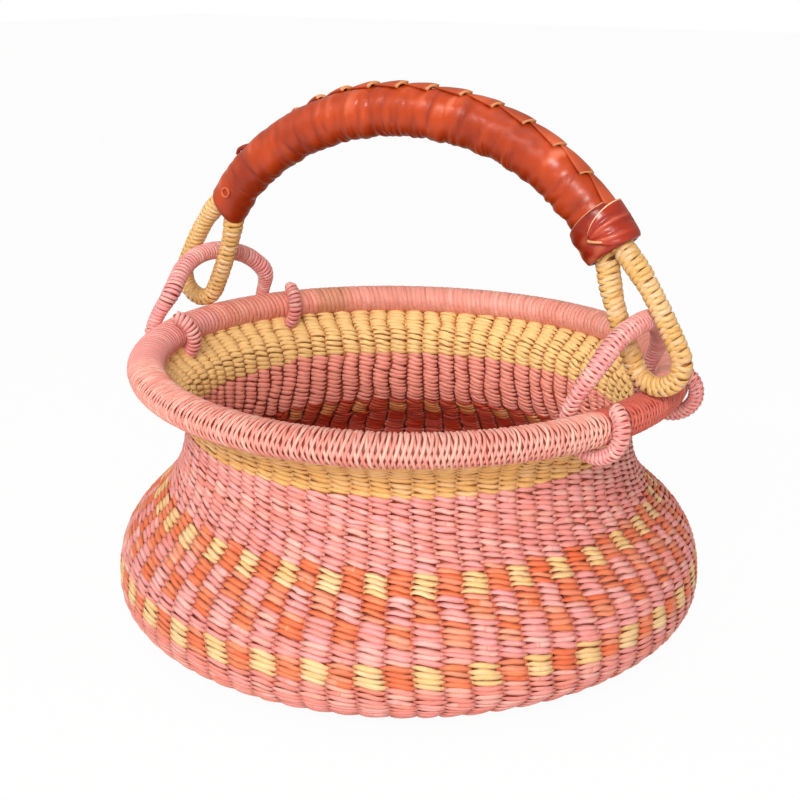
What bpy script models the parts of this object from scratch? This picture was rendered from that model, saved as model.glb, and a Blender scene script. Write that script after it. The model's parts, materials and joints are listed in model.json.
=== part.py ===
"""Bolga basket: a round woven grass basket with a rolled rim, two rope ears and a leather-covered
swing handle. Every sub-part is one named object in metres, +Z up. The origin is the middle of the
base. The ears sit on -X and +X and the handle stands upright in the XZ plane."""
import math

import bmesh
import bpy
import numpy as np

# Middle line of the rolled rim, and how far inside and below it the neck is
RIM_RADIUS = 0.1400
RIM_HEIGHT = 0.1368
NECK_INSET = 0.0187
NECK_DROP = 0.0274
NECK_RADIUS = RIM_RADIUS - NECK_INSET
NECK_HEIGHT = RIM_HEIGHT - NECK_DROP

# Woven body
STAKES = 74
BASE_RADIUS = 0.1095
BELLY_RADIUS = 0.1606
BELLY_HEIGHT = 0.0262
WALL = 0.0045
RIB_DEPTH = 0.0015
INNER_RIB_DEPTH = 0.0014
BASE_RIB_DEPTH = 0.0012
BELLY_ROUNDNESS = 2.455
SHOULDER_LOW_SHARE = 0.517
SHOULDER_HIGH_SHARE = 0.628
FLARE_LOW_SHARE = 0.5
FLARE_HIGH_SHARE = 0.6
RIB_FADE_SHARE = 0.14

# Colour bands: name, share of the wall's outer line where the band starts, rows of facets in it
BAND_SHARES = [
    ("bottom_band", 0.0, 3),
    ("lower_check_band", 0.354, 1),
    ("pink_stripe", 0.416, 1),
    ("step_band", 0.460, 1),
    ("upper_check_band", 0.591, 1),
    ("shoulder_band", 0.671, 2),
    ("neck_band", 0.841, 2),
]

BOTTOM_RING_SHARES = (0.30, 0.68)

# Rings of the base's upper face: share of its radius, and share of the rib's depth there
BASE_RING_SHARES = [(0.14, 0.3), (0.5, 1.0), (1.0, 1.0)]

# Rolled rim
RIM_HALF_WIDE = 0.0100
RIM_HALF_THICK = 0.0085
RIM_WRAP = 0.0016
RIM_ENTRY_ANGLE = math.radians(-130.0)
RIM_SEGMENTS = 48
SLOT_CLEARANCE = 0.0006

# Rim lifted a little near the left ear's front foot
LIFT = 0.0050
LIFT_ANGLE = math.radians(200.0)
LIFT_SHARPNESS = 3
LIFT_FULL_SHARE = 0.8

# Ears: rope radius, radius of the turn round the rim, and where the turns run
EAR_ROPE = 0.0053
EAR_TURN_ROPE = 0.0042
EAR_SIDES = 8
EAR_ARCH_STEPS = 13
EAR_TURN_STEPS = 19
EAR_SMOOTHING = 3
EAR_BLEND_SHARE = 0.66
EAR_TAPER_SHARE = 0.45
EAR_TURN = math.radians(285.0)
EAR_CLEARANCE = 0.0005
NOTCH_CLEARANCE = 0.0008
NOTCH_SHIFT_SHARE = 0.04
NOTCH_SPREAD_SHARE = 0.15
EAR_DRIFT = 0.0100
RIGHT_EAR_TOP = 0.0435
LEFT_EAR_TOP = 0.0395
RIGHT_EAR = {"side": 1, "leg": math.radians(18.5), "top": RIGHT_EAR_TOP, "start": math.radians(50.0),
             "first": -1, "drift": -EAR_DRIFT, "roundness": 2.0}
LEFT_EAR = {"side": -1, "leg": math.radians(17.5), "top": LEFT_EAR_TOP, "start": math.radians(60.0),
            "first": 1, "drift": EAR_DRIFT, "roundness": 2.05}

# Handle: pivot, rope and the loops through the ears, heights above the rim's centre line
PIVOT_RISE = 0.0180
ROPE = 0.0053
ROPE_SIDES = 8
STRAND_OFFSET = 0.00545
LINK_SLOPE = math.radians(62.0)
RIGHT_LINK_OUT = 0.0120
RIGHT_LINK_RISE = 0.0145
RIGHT_LINK_HALF_GAP = 0.0124
LEFT_LINK_OUT = 0.0190
LEFT_LINK_RISE = 0.0167
LEFT_LINK_HALF_GAP = 0.0130
RIGHT_LINK = {"reach": RIM_RADIUS + RIGHT_LINK_OUT, "rise": RIGHT_LINK_RISE, "half_gap": RIGHT_LINK_HALF_GAP}
LEFT_LINK = {"reach": RIM_RADIUS + LEFT_LINK_OUT, "rise": LEFT_LINK_RISE, "half_gap": LEFT_LINK_HALF_GAP}
LINK_LOW_PULL = 0.042
LINK_HIGH_PULL = 0.006
APEX_RISE = 0.1340
END_SLOPE = math.radians(54.5)
RIGHT_END_INSET = 0.0200
RIGHT_END_RISE = 0.0755
RIGHT_TOP_PULL = 0.0570
RIGHT_END_PULL = 0.0470
LEFT_END_INSET = 0.0135
LEFT_END_RISE = 0.0745
LEFT_TOP_PULL = 0.0490
LEFT_END_PULL = 0.0450
RIGHT_END = {"reach": RIM_RADIUS - RIGHT_END_INSET, "rise": RIGHT_END_RISE,
             "top_pull": RIGHT_TOP_PULL, "end_pull": RIGHT_END_PULL}
LEFT_END = {"reach": RIM_RADIUS - LEFT_END_INSET, "rise": LEFT_END_RISE,
            "top_pull": LEFT_TOP_PULL, "end_pull": LEFT_END_PULL}

# Leather
SLEEVE_HALF_HIGH = 0.0130
SLEEVE_HALF_WIDE = 0.0106
SLEEVE_END_SHARE = 0.94
SLEEVE_STEPS = 12
SLEEVE_SIDES = 14
LEATHER = 0.0018
STITCHES = 14
STITCH_THICK = 0.0024
STITCH_THIN_SHARE = 0.38
STITCH_HALF_WIDE = 0.0058
STITCH_SLANT = 0.0030
LACING_START_SHARE = 0.12
CUFF_LENGTH = 0.0190
FLAP_ARC = math.radians(92.0)
KNOT_RADIUS = 0.0027
KNOT_THICK = 0.0009
KNOT_INSET = 0.0100

CLEARANCE = 0.0003
FULL_TURN = 2.0 * math.pi


def clear_scene():
    for item in list(bpy.data.objects):
        bpy.data.objects.remove(item, do_unlink=True)


def material(name, colour, roughness):
    made = bpy.data.materials.new(name)
    made.use_nodes = True
    shader = made.node_tree.nodes["Principled BSDF"]
    shader.inputs["Base Color"].default_value = (*colour, 1.0)
    shader.inputs["Roughness"].default_value = roughness
    made.diffuse_color = (*colour, 1.0)
    return made


def unit(vector):
    return vector / np.linalg.norm(vector)


def smooth_step(value):
    value = np.clip(value, 0.0, 1.0)
    return value * value * (3.0 - 2.0 * value)


def bezier(points, count):
    """Points of a cubic curve, both ends included."""
    t = np.linspace(0.0, 1.0, count)[:, None]
    a, b, c, d = (np.asarray(p, float) for p in points)
    return (1 - t) ** 3 * a + 3 * (1 - t) ** 2 * t * b + 3 * (1 - t) * t * t * c + t ** 3 * d


def make_object(name, verts, faces, look):
    """A closed mesh from points and faces, normals outwards, shaded smooth."""
    mesh = bpy.data.meshes.new(name)
    mesh.from_pydata([tuple(float(c) for c in v) for v in verts], [], faces)
    work = bmesh.new()
    work.from_mesh(mesh)
    bmesh.ops.recalc_face_normals(work, faces=work.faces)
    work.to_mesh(mesh)
    work.free()
    made = bpy.data.objects.new(name, mesh)
    bpy.context.scene.collection.objects.link(made)
    mesh.materials.append(look)
    mesh.polygons.foreach_set("use_smooth", [True] * len(mesh.polygons))
    return made


def loft(rings, closed=False):
    """Faces between successive rings of equal length. Open lofts get end caps."""
    count = len(rings[0])
    verts = np.concatenate(rings)
    faces = []
    spans = len(rings) if closed else len(rings) - 1
    for i in range(spans):
        a = i * count
        b = ((i + 1) % len(rings)) * count
        for j in range(count):
            k = (j + 1) % count
            faces.append((a + j, a + k, b + k, b + j))
    if not closed:
        faces.append(tuple(range(count - 1, -1, -1)))
        last = (len(rings) - 1) * count
        faces.append(tuple(range(last, last + count)))
    return verts, faces


def tube_rings(path, radii, sides):
    """Round sections along a path, turned as little as possible from one to the next."""
    tangents = np.gradient(path, axis=0)
    tangents /= np.linalg.norm(tangents, axis=1)[:, None]
    across = unit(np.cross(tangents[0], [0.0, 0.0, 1.0]))
    rings = []
    for point, tangent, radius in zip(path, tangents, radii):
        across = unit(across - tangent * np.dot(across, tangent))
        other = np.cross(tangent, across)
        angles = np.arange(sides) * FULL_TURN / sides
        rings.append(point + radius * (np.outer(np.cos(angles), across) + np.outer(np.sin(angles), other)))
    return rings


# Wall outline

def rim_reach(direction, inset):
    """Distance from the rim's centre to its ellipse, made smaller by the inset, in one direction."""
    wide = RIM_HALF_WIDE - inset
    thick = RIM_HALF_THICK - inset
    return 1.0 / math.hypot(math.cos(direction) / wide, math.sin(direction) / thick)


def wall_end():
    """Where the wall's outer face stops inside the rim, and the way it points there."""
    entry = np.array([math.cos(RIM_ENTRY_ANGLE), math.sin(RIM_ENTRY_ANGLE)])
    centre = np.array([RIM_RADIUS, RIM_HEIGHT])
    inset = RIM_WRAP + CLEARANCE
    middle = centre + entry * (rim_reach(RIM_ENTRY_ANGLE, inset) + CLEARANCE)
    heading = -entry
    outward = np.array([heading[1], -heading[0]])
    return middle + outward * WALL / 2, heading


def wall_outline():
    """Radius and height of the wall's outer face, from the edge of the base to inside the rim."""
    angles = np.linspace(0.0, math.pi / 2, 40)
    power = 2.0 / BELLY_ROUNDNESS
    low_r = BASE_RADIUS + (BELLY_RADIUS - BASE_RADIUS) * np.sin(angles) ** power
    low_z = BELLY_HEIGHT * (1.0 - np.cos(angles) ** power)
    rise = NECK_HEIGHT - BELLY_HEIGHT
    shoulder = bezier([
        (BELLY_RADIUS, BELLY_HEIGHT),
        (BELLY_RADIUS, BELLY_HEIGHT + SHOULDER_LOW_SHARE * rise),
        (NECK_RADIUS, NECK_HEIGHT - SHOULDER_HIGH_SHARE * rise),
        (NECK_RADIUS, NECK_HEIGHT),
    ], 40)
    end, heading = wall_end()
    flare = RIM_HEIGHT - RIM_HALF_THICK - NECK_HEIGHT
    top = bezier([
        (NECK_RADIUS, NECK_HEIGHT),
        (NECK_RADIUS, NECK_HEIGHT + FLARE_LOW_SHARE * flare),
        end - heading * FLARE_HIGH_SHARE * flare,
        end,
    ], 24)
    low = np.stack([low_r, low_z], axis=1)
    return np.concatenate([low, shoulder[1:], top[1:]])


OUTLINE = wall_outline()
OUTLINE_RUN = np.concatenate([[0.0], np.cumsum(np.linalg.norm(np.diff(OUTLINE, axis=0), axis=1))])
OUTLINE_LENGTH = OUTLINE_RUN[-1]


def outline_at(share):
    """Point on the outer line and the unit vector out of the wall there."""
    run = share * OUTLINE_LENGTH
    point = np.array([np.interp(run, OUTLINE_RUN, OUTLINE[:, i]) for i in range(2)])
    step = OUTLINE_LENGTH * 0.004
    ahead = np.array([np.interp(run + step, OUTLINE_RUN, OUTLINE[:, i]) for i in range(2)])
    behind = np.array([np.interp(run - step, OUTLINE_RUN, OUTLINE[:, i]) for i in range(2)])
    along = unit(ahead - behind)
    return point, np.array([along[1], -along[0]])


def lift_points(points):
    """Raise points of the neck, rim and ears where the basket's mouth is pulled up."""
    points = np.array(points, float)
    angle = np.arctan2(points[:, 1], points[:, 0])
    around = (0.5 + 0.5 * np.cos(angle - LIFT_ANGLE)) ** LIFT_SHARPNESS
    rise = LIFT_FULL_SHARE * (RIM_HEIGHT - BELLY_HEIGHT)
    upward = smooth_step((points[:, 2] - BELLY_HEIGHT) / rise)
    points[:, 2] += LIFT * around * upward
    return points


def polar(radius, angle, height):
    return np.array([radius * math.cos(angle), radius * math.sin(angle), height])


def rib_share(share):
    """Ribs are full from the base up and fade out under the rim."""
    return float(smooth_step((1 - share) / RIB_FADE_SHARE))


# Woven body

def band_rings(share):
    """Ribbed outer and inner rings of points at one place on the wall, grooves facing each other."""
    point, out = outline_at(share)
    ribs = rib_share(share)
    outer = []
    inner = []
    for j in range(2 * STAKES):
        angle = j * FULL_TURN / (2 * STAKES)
        r, z = point - out * RIB_DEPTH * ribs * (j % 2)
        outer.append(polar(r, angle, z))
        r, z = point - out * (WALL - INNER_RIB_DEPTH * ribs * (j % 2))
        inner.append(polar(r, angle, z))
    return outer, inner


def grid_faces(first, second, count, flip):
    faces = []
    for j in range(count):
        k = (j + 1) % count
        face = (first + j, first + k, second + k, second + j)
        faces.append(face[::-1] if flip else face)
    return faces


def woven_band(name, start, stop, rows, look):
    gap = CLEARANCE / 2 / OUTLINE_LENGTH
    low = start if start == 0.0 else start + gap
    high = stop if stop == 1.0 else stop - gap
    shares = np.linspace(low, high, rows + 1)
    if start == 0.0:
        shares = high * np.array([0.0, *BOTTOM_RING_SHARES, 1.0])
    verts = []
    marks = []
    for share in shares:
        outer, inner = band_rings(share)
        marks.append((len(verts), len(verts) + len(outer)))
        verts.extend(outer + inner)
    faces = grid_faces(*marks[0], 2 * STAKES, True) + grid_faces(*marks[-1], 2 * STAKES, False)
    for low_mark, high_mark in zip(marks, marks[1:]):
        faces += grid_faces(low_mark[0], high_mark[0], 2 * STAKES, False)
        faces += grid_faces(low_mark[1], high_mark[1], 2 * STAKES, True)
    return make_object(name, lift_points(verts), faces, look)


def woven_base(look):
    """Round bottom that the wall grows out of: flat below to rest on, with spokes above."""
    radius = BASE_RADIUS - CLEARANCE
    verts = []
    for share, depth_share in BASE_RING_SHARES:
        for j in range(STAKES):
            height = WALL - BASE_RIB_DEPTH * depth_share * (j % 2)
            verts.append(polar(radius * share, j * FULL_TURN / STAKES, height))
    count = len(verts)
    verts += [polar(radius, j * FULL_TURN / STAKES, 0.0) for j in range(STAKES)]
    verts += [polar(0.0, 0.0, 0.0), polar(0.0, 0.0, WALL)]
    faces = grid_faces(count, count - STAKES, STAKES, False)
    for ring in range(len(BASE_RING_SHARES) - 1):
        faces += grid_faces((ring + 1) * STAKES, ring * STAKES, STAKES, False)
    for j in range(STAKES):
        k = (j + 1) % STAKES
        faces.append((count + k, count + j, count + STAKES))
        faces.append((j, k, count + STAKES + 1))
    return make_object("woven_base", verts, faces, look)


# Rim

def rim_section(inset, low, high, count):
    """Points of the rim's ellipse between two directions, in radius and height."""
    points = []
    for direction in np.linspace(low, high, count):
        reach = rim_reach(direction, inset)
        points.append((RIM_RADIUS + reach * math.cos(direction), RIM_HEIGHT + reach * math.sin(direction)))
    return points


def slot_angle(inset, side):
    """Half angle of the slot for the wall at one ellipse, on one side of the entry direction."""
    half = WALL / 2 + SLOT_CLEARANCE
    angle = 0.0
    for _ in range(6):
        angle = math.asin(half / rim_reach(RIM_ENTRY_ANGLE + side * angle, inset))
    return angle


def spin(section):
    rings = []
    for i in range(RIM_SEGMENTS):
        angle = i * FULL_TURN / RIM_SEGMENTS
        rings.append(lift_points([polar(r, angle, z) for r, z in section]))
    return loft(rings, closed=True)


def rim_bore_section(inset, count=9):
    """The ellipse inside the rim's winding, from one side of the slot round to the other."""
    low = RIM_ENTRY_ANGLE + slot_angle(RIM_WRAP, 1)
    high = RIM_ENTRY_ANGLE + FULL_TURN - slot_angle(RIM_WRAP, -1)
    return rim_section(inset, low, high, count)


def rim_core(look):
    """Bundle of grass that the rim is rolled over."""
    return make_object("rim_core", *spin(rim_bore_section(RIM_WRAP + CLEARANCE)), look)


def rim_wrap(look):
    """Straw wound round the rim, open below where the wall goes in."""
    low = RIM_ENTRY_ANGLE + slot_angle(0.0, 1)
    high = RIM_ENTRY_ANGLE + FULL_TURN - slot_angle(0.0, -1)
    outer = rim_section(0.0, low, high, 12)
    return make_object("rim_wrap", *spin(outer + rim_bore_section(RIM_WRAP)[::-1]), look)


# Ears

def turn_points(ear):
    """Rope of the ear going round the rim on the +Y foot, from the leg to its tucked end."""
    wide = RIM_HALF_WIDE + EAR_CLEARANCE + EAR_TURN_ROPE
    thick = RIM_HALF_THICK + EAR_CLEARANCE + EAR_TURN_ROPE
    points = []
    for share in np.linspace(0.0, 1.0, EAR_TURN_STEPS):
        psi = math.pi / 2 - ear["first"] * (ear["start"] + EAR_TURN * share)
        phi = ear["leg"] + ear["drift"] * share / RIM_RADIUS
        radius = RIM_RADIUS + wide * math.cos(psi)
        points.append(polar(radius, phi, RIM_HEIGHT + thick * math.sin(psi)))
    return np.array(points)


def link_line(link, distance):
    """X of the middle of a handle loop at a distance above the pivot."""
    return link["reach"] - (PIVOT_RISE + distance - link["rise"]) / math.tan(LINK_SLOPE)


def arch_points(ear, link, foot):
    """Half of the ear's arch: it stays between the two strands of the handle's loop as that swings."""
    t = np.linspace(0.0, 1.0, EAR_ARCH_STEPS)
    power = 2.0 / ear["roundness"]
    y = foot[1] * np.sin(t * math.pi / 2) ** power
    crown = RIM_HEIGHT + ear["top"]
    z = foot[2] + (crown - foot[2]) * np.cos(t * math.pi / 2) ** power
    guess = np.stack([np.full(len(y), ear["side"] * link["reach"]), y, z], axis=1)
    away = np.hypot(y, lift_points(guess)[:, 2] - RIM_HEIGHT - PIVOT_RISE)
    blend = smooth_step((t - EAR_BLEND_SHARE) / (1 - EAR_BLEND_SHARE))
    x = link_line(link, away) * (1 - blend) + foot[0] * blend
    return np.stack([x, y, z], axis=1)


def ear_path(ear, link):
    """Whole rope of one ear with its radius at each point."""
    turn = turn_points(ear)
    half = np.concatenate([arch_points(ear, link, turn[0])[:-1], turn])
    low = EAR_ARCH_STEPS // 2
    high = EAR_ARCH_STEPS + 1
    for _ in range(EAR_SMOOTHING):
        eased = half.copy()
        eased[low:high] = (half[low - 1:high - 1] + 2 * half[low:high] + half[low + 1:high + 1]) / 4
        half = eased
    share = smooth_step((np.arange(len(half)) - EAR_ARCH_STEPS * EAR_TAPER_SHARE) / (EAR_ARCH_STEPS * EAR_TAPER_SHARE))
    radii = EAR_ROPE + (EAR_TURN_ROPE - EAR_ROPE) * share
    path = np.concatenate([half[:0:-1] * [1, -1, 1], half])
    path = path * [ear["side"], 1, 1]
    return lift_points(path), np.concatenate([radii[:0:-1], radii])


def ear_rope(name, ear, link, look):
    path, radii = ear_path(ear, link)
    return make_object(name, *loft(tube_rings(path, radii, EAR_SIDES)), look)


def notch_box(ear, foot):
    """Corners of the opening in the neck for one turn of an ear, long across the rim."""
    entry = RIM_ENTRY_ANGLE if ear["first"] > 0 else RIM_ENTRY_ANGLE + FULL_TURN
    share = ((math.pi / 2 - entry) * ear["first"] - ear["start"]) / EAR_TURN - ear["first"] * NOTCH_SHIFT_SHARE
    angle = ear["leg"] + ear["drift"] * share / RIM_RADIUS
    angle = foot * angle if ear["side"] > 0 else math.pi - foot * angle
    half = EAR_TURN_ROPE + NOTCH_CLEARANCE + abs(ear["drift"]) * NOTCH_SPREAD_SHARE
    low = RIM_HEIGHT - RIM_HALF_THICK - EAR_CLEARANCE - 2 * EAR_TURN_ROPE - NOTCH_CLEARANCE
    high = RIM_HEIGHT + LIFT + RIM_HALF_THICK
    along = np.array([-math.sin(angle), math.cos(angle), 0.0])
    corners = []
    for height in (low, high):
        for radius, side in ((-1, -1), (1, -1), (1, 1), (-1, 1)):
            reach = RIM_RADIUS + radius * 3 * RIM_HALF_WIDE
            corners.append(polar(reach, angle, height) + along * side * half)
    return lift_points(corners)


def cut_notches(neck, look):
    """Openings under the rim that the ears' turns pass through."""
    verts = []
    faces = []
    for ear in (RIGHT_EAR, LEFT_EAR):
        for foot in (-1, 1):
            a = len(verts)
            verts.extend(notch_box(ear, foot))
            faces += [(a + 3, a + 2, a + 1, a), (a + 4, a + 5, a + 6, a + 7)]
            faces += [tuple(a + i for i in (j, (j + 1) % 4, (j + 1) % 4 + 4, j + 4)) for j in range(4)]
    cutter = make_object("notch_cutter", verts, faces, look)
    cutter.hide_render = True
    cutter.display_type = "WIRE"
    cut = neck.modifiers.new("notches", "BOOLEAN")
    cut.operation = "DIFFERENCE"
    cut.solver = "EXACT"
    cut.object = cutter
    return cutter


# Handle

def half_handle(end, side):
    """Centre line of one half of the leather sleeve, from the crown to its end."""
    crown = RIM_HEIGHT + APEX_RISE
    tip = np.array([end["reach"], 0.0, RIM_HEIGHT + end["rise"]])
    heading = np.array([math.cos(END_SLOPE), 0.0, -math.sin(END_SLOPE)])
    line = bezier([
        (0.0, 0.0, crown),
        (end["top_pull"], 0.0, crown),
        tip - heading * end["end_pull"],
        tip,
    ], SLEEVE_STEPS)
    return line * [side, 1, 1]


def sleeve_line():
    """Centre line of the sleeve from the left end to the right end."""
    left = half_handle(LEFT_END, -1)
    right = half_handle(RIGHT_END, 1)
    return np.concatenate([left[::-1], right[1:]])


def line_frames(line):
    """Unit vector along a line in the XZ plane and the one pointing to its outer side."""
    along = np.gradient(line, axis=0)
    along /= np.linalg.norm(along, axis=1)[:, None]
    outward = np.stack([-along[:, 2], np.zeros(len(line)), along[:, 0]], axis=1)
    return along, outward


def link_points(side, link, outer_end, inner_end, heading):
    """Rope loop hanging out of one sleeve end, from the outer strand round to the inner one."""
    down = np.array([side * math.cos(LINK_SLOPE), 0.0, -math.sin(LINK_SLOPE)])
    out = np.array([side * math.sin(LINK_SLOPE), 0.0, math.cos(LINK_SLOPE)])
    low = np.array([side * link["reach"], 0.0, RIM_HEIGHT + link["rise"]])
    gap = link["half_gap"]
    centre = low - down * gap
    angles = np.linspace(0.0, math.pi, 9)
    bight = np.array([centre + out * gap * math.cos(a) + down * gap * math.sin(a) for a in angles])
    first = bezier([outer_end, outer_end + heading * LINK_HIGH_PULL,
                    bight[0] - down * LINK_LOW_PULL, bight[0]], 8)
    last = bezier([bight[-1], bight[-1] - down * LINK_LOW_PULL,
                   inner_end + heading * LINK_HIGH_PULL, inner_end], 8)
    return np.concatenate([first[1:], bight[1:-1], last[:-1]])


def rope_loop():
    """The closed rope of the handle: along the outer strand, round the right loop and back."""
    line = sleeve_line()
    along, outward = line_frames(line)
    outer = line + outward * STRAND_OFFSET
    inner = line - outward * STRAND_OFFSET
    right = link_points(1, RIGHT_LINK, outer[-1], inner[-1], along[-1])
    left = link_points(-1, LEFT_LINK, outer[0], inner[0], -along[0])
    return np.concatenate([outer, right, inner[::-1], left[::-1]])


def handle_rope(look):
    """Flat-lying sections keep the closed loop free of twist."""
    path = rope_loop()
    tangents = np.roll(path, -1, axis=0) - np.roll(path, 1, axis=0)
    tangents /= np.linalg.norm(tangents, axis=1)[:, None]
    side = np.array([0.0, 1.0, 0.0])
    angles = np.arange(ROPE_SIDES) * FULL_TURN / ROPE_SIDES
    rings = []
    for point, tangent in zip(path, tangents):
        other = np.cross(tangent, side)
        rings.append(point + ROPE * (np.outer(np.cos(angles), side) + np.outer(np.sin(angles), other)))
    return make_object("handle_rope", *loft(rings, closed=True), look)


def sleeve_size(share):
    """Half height and half width of the leather at a share of its length: a little slimmer at the ends."""
    ease = SLEEVE_END_SHARE + (1 - SLEEVE_END_SHARE) * math.sin(math.pi * share)
    return SLEEVE_HALF_HIGH * ease, SLEEVE_HALF_WIDE * ease


def oval_ring(point, outward, high, wide):
    angles = np.arange(SLEEVE_SIDES) * FULL_TURN / SLEEVE_SIDES
    side = np.array([0.0, 1.0, 0.0])
    return point + np.outer(np.sin(angles) * high, outward) + np.outer(np.cos(angles) * wide, side)


def bore_ring(point, outward):
    """Slot-shaped opening in the leather for the two strands."""
    radius = (ROPE + CLEARANCE) / math.cos(math.pi / SLEEVE_SIDES)
    angles = np.arange(SLEEVE_SIDES) * FULL_TURN / SLEEVE_SIDES
    shift = np.sign(np.round(np.sin(angles), 6)) * STRAND_OFFSET
    side = np.array([0.0, 1.0, 0.0])
    return point + np.outer(np.sin(angles) * radius + shift, outward) + np.outer(np.cos(angles) * radius, side)


def hollow_loft(outer_rings, inner_rings):
    """A tube wall: outer and inner skins joined at both ends."""
    count = len(outer_rings[0])
    verts = np.concatenate(list(outer_rings) + list(inner_rings))
    shift = len(outer_rings) * count
    faces = []
    for i in range(len(outer_rings) - 1):
        faces += grid_faces(i * count, (i + 1) * count, count, False)
        faces += grid_faces(shift + i * count, shift + (i + 1) * count, count, True)
    last = (len(outer_rings) - 1) * count
    faces += grid_faces(shift, 0, count, False)
    faces += grid_faces(last, shift + last, count, False)
    return verts, faces


def line_shares(line):
    run = np.concatenate([[0.0], np.cumsum(np.linalg.norm(np.diff(line, axis=0), axis=1))])
    return run / run[-1], run[-1]


def leather_sleeve(look):
    line = sleeve_line()
    shares, _ = line_shares(line)
    _, outward = line_frames(line)
    outer = [oval_ring(p, o, *sleeve_size(s)) for p, o, s in zip(line, outward, shares)]
    inner = [bore_ring(p, o) for p, o in zip(line, outward)]
    return make_object("leather_sleeve", *hollow_loft(outer, inner), look)


def sleeve_at(share):
    """Point on the sleeve's centre line with its outward vector, by share of its length."""
    line = sleeve_line()
    shares, _ = line_shares(line)
    _, outward = line_frames(line)
    point = np.array([np.interp(share, shares, line[:, i]) for i in range(3)])
    out = unit(np.array([np.interp(share, shares, outward[:, i]) for i in range(3)]))
    return point, out


def crown_point(share, across, height):
    """Point above the sleeve's skin: across is sideways from the crown, height is off the leather."""
    point, out = sleeve_at(share)
    high, wide = sleeve_size(share)
    angle = math.asin(max(-1.0, min(1.0, across / wide)))
    side = np.array([0.0, 1.0, 0.0])
    normal = unit(out * math.cos(angle) / high + side * math.sin(angle) / wide)
    skin = point + out * high * math.cos(angle) + side * wide * math.sin(angle)
    return skin + normal * height


def lacing_thong(look):
    """Overlapping slanted stitches of one leather strap along the handle's crown. Each stitch
    starts thin under the one before, swells, and ends in a step down to the next."""
    _, length = line_shares(sleeve_line())
    stop = 1.0 - (CUFF_LENGTH + 2 * CLEARANCE) / length
    rings = []
    base = CLEARANCE * 2
    for i in range(STITCHES):
        for t in (0.0, 0.5, 0.94):
            share = LACING_START_SHARE + (stop - LACING_START_SHARE) * (i + t) / STITCHES
            thick = STITCH_THICK * (STITCH_THIN_SHARE + (1 - STITCH_THIN_SHARE) * t)
            middle = STITCH_SLANT * (0.5 - t)
            spread = np.linspace(-1.0, 1.0, 4) * STITCH_HALF_WIDE + middle
            top = [crown_point(share, a, base + thick) for a in spread]
            bottom = [crown_point(share, a, base) for a in spread[::-1]]
            rings.append(np.array(top + bottom))
    return make_object("lacing_thong", *loft(rings), look)


def end_cuff(look):
    """Strap end wrapped once round the right end of the sleeve."""
    _, length = line_shares(sleeve_line())
    outer = []
    inner = []
    for t in (0.0, 0.25, 0.5, 0.75, 1.0):
        share = 1.0 - CUFF_LENGTH * (1 - t) / length
        point, out = sleeve_at(share)
        high, wide = sleeve_size(share)
        swell = LEATHER * (1.0 + 0.35 * math.sin(math.pi * t))
        gap = 2 * CLEARANCE
        outer.append(oval_ring(point, out, high + gap + swell, wide + gap + swell))
        inner.append(oval_ring(point, out, high + gap, wide + gap))
    return make_object("end_cuff", *hollow_loft(outer, inner), look)


def cuff_point(share, angle, height):
    """Point off the cuff's skin, the angle running from the crown down the -Y side."""
    point, out = sleeve_at(share)
    high, wide = sleeve_size(share)
    gap = 2 * CLEARANCE + LEATHER * 1.35 + CLEARANCE + height
    side = np.array([0.0, -1.0, 0.0])
    return point + out * (high + gap) * math.cos(angle) + side * (wide + gap) * math.sin(angle)


def thong_flap(look):
    """Loose end of the strap folded down over the cuff to a point."""
    _, length = line_shares(sleeve_line())
    rings = []
    for t in np.linspace(0.0, 1.0, 6):
        angle = FLAP_ARC * t - math.radians(8.0)
        narrow = CUFF_LENGTH * (0.06 + 0.40 * (1 - t))
        middle = 1.0 - CUFF_LENGTH * (0.50 + 0.06 * t) / length
        shares = [middle - narrow / length, middle, middle + narrow / length]
        shares = [min(s, 1.0) for s in shares]
        top = [cuff_point(s, angle, LEATHER * 0.8) for s in shares]
        bottom = [cuff_point(s, angle, 0.0) for s in shares[::-1]]
        rings.append(np.array(top + bottom))
    return make_object("thong_flap", *loft(rings), look)


def thong_knot(look):
    """Small ring where the strap's other end comes through near the left end."""
    _, length = line_shares(sleeve_line())
    share = KNOT_INSET / length
    point, out = sleeve_at(share)
    high, wide = sleeve_size(share)
    side = np.array([0.0, -1.0, 0.0])
    along = np.cross(out, side)
    centre = point + side * (wide + CLEARANCE + KNOT_THICK * 1.6)
    rings = []
    for i in range(12):
        a = i * FULL_TURN / 12
        reach = along * math.cos(a) + out * math.sin(a)
        ring = []
        for j in range(6):
            b = j * FULL_TURN / 6
            ring.append(centre + reach * (KNOT_RADIUS + KNOT_THICK * math.cos(b)) + side * KNOT_THICK * math.sin(b))
        rings.append(np.array(ring))
    return make_object("thong_knot", *loft(rings, closed=True), look)


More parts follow.
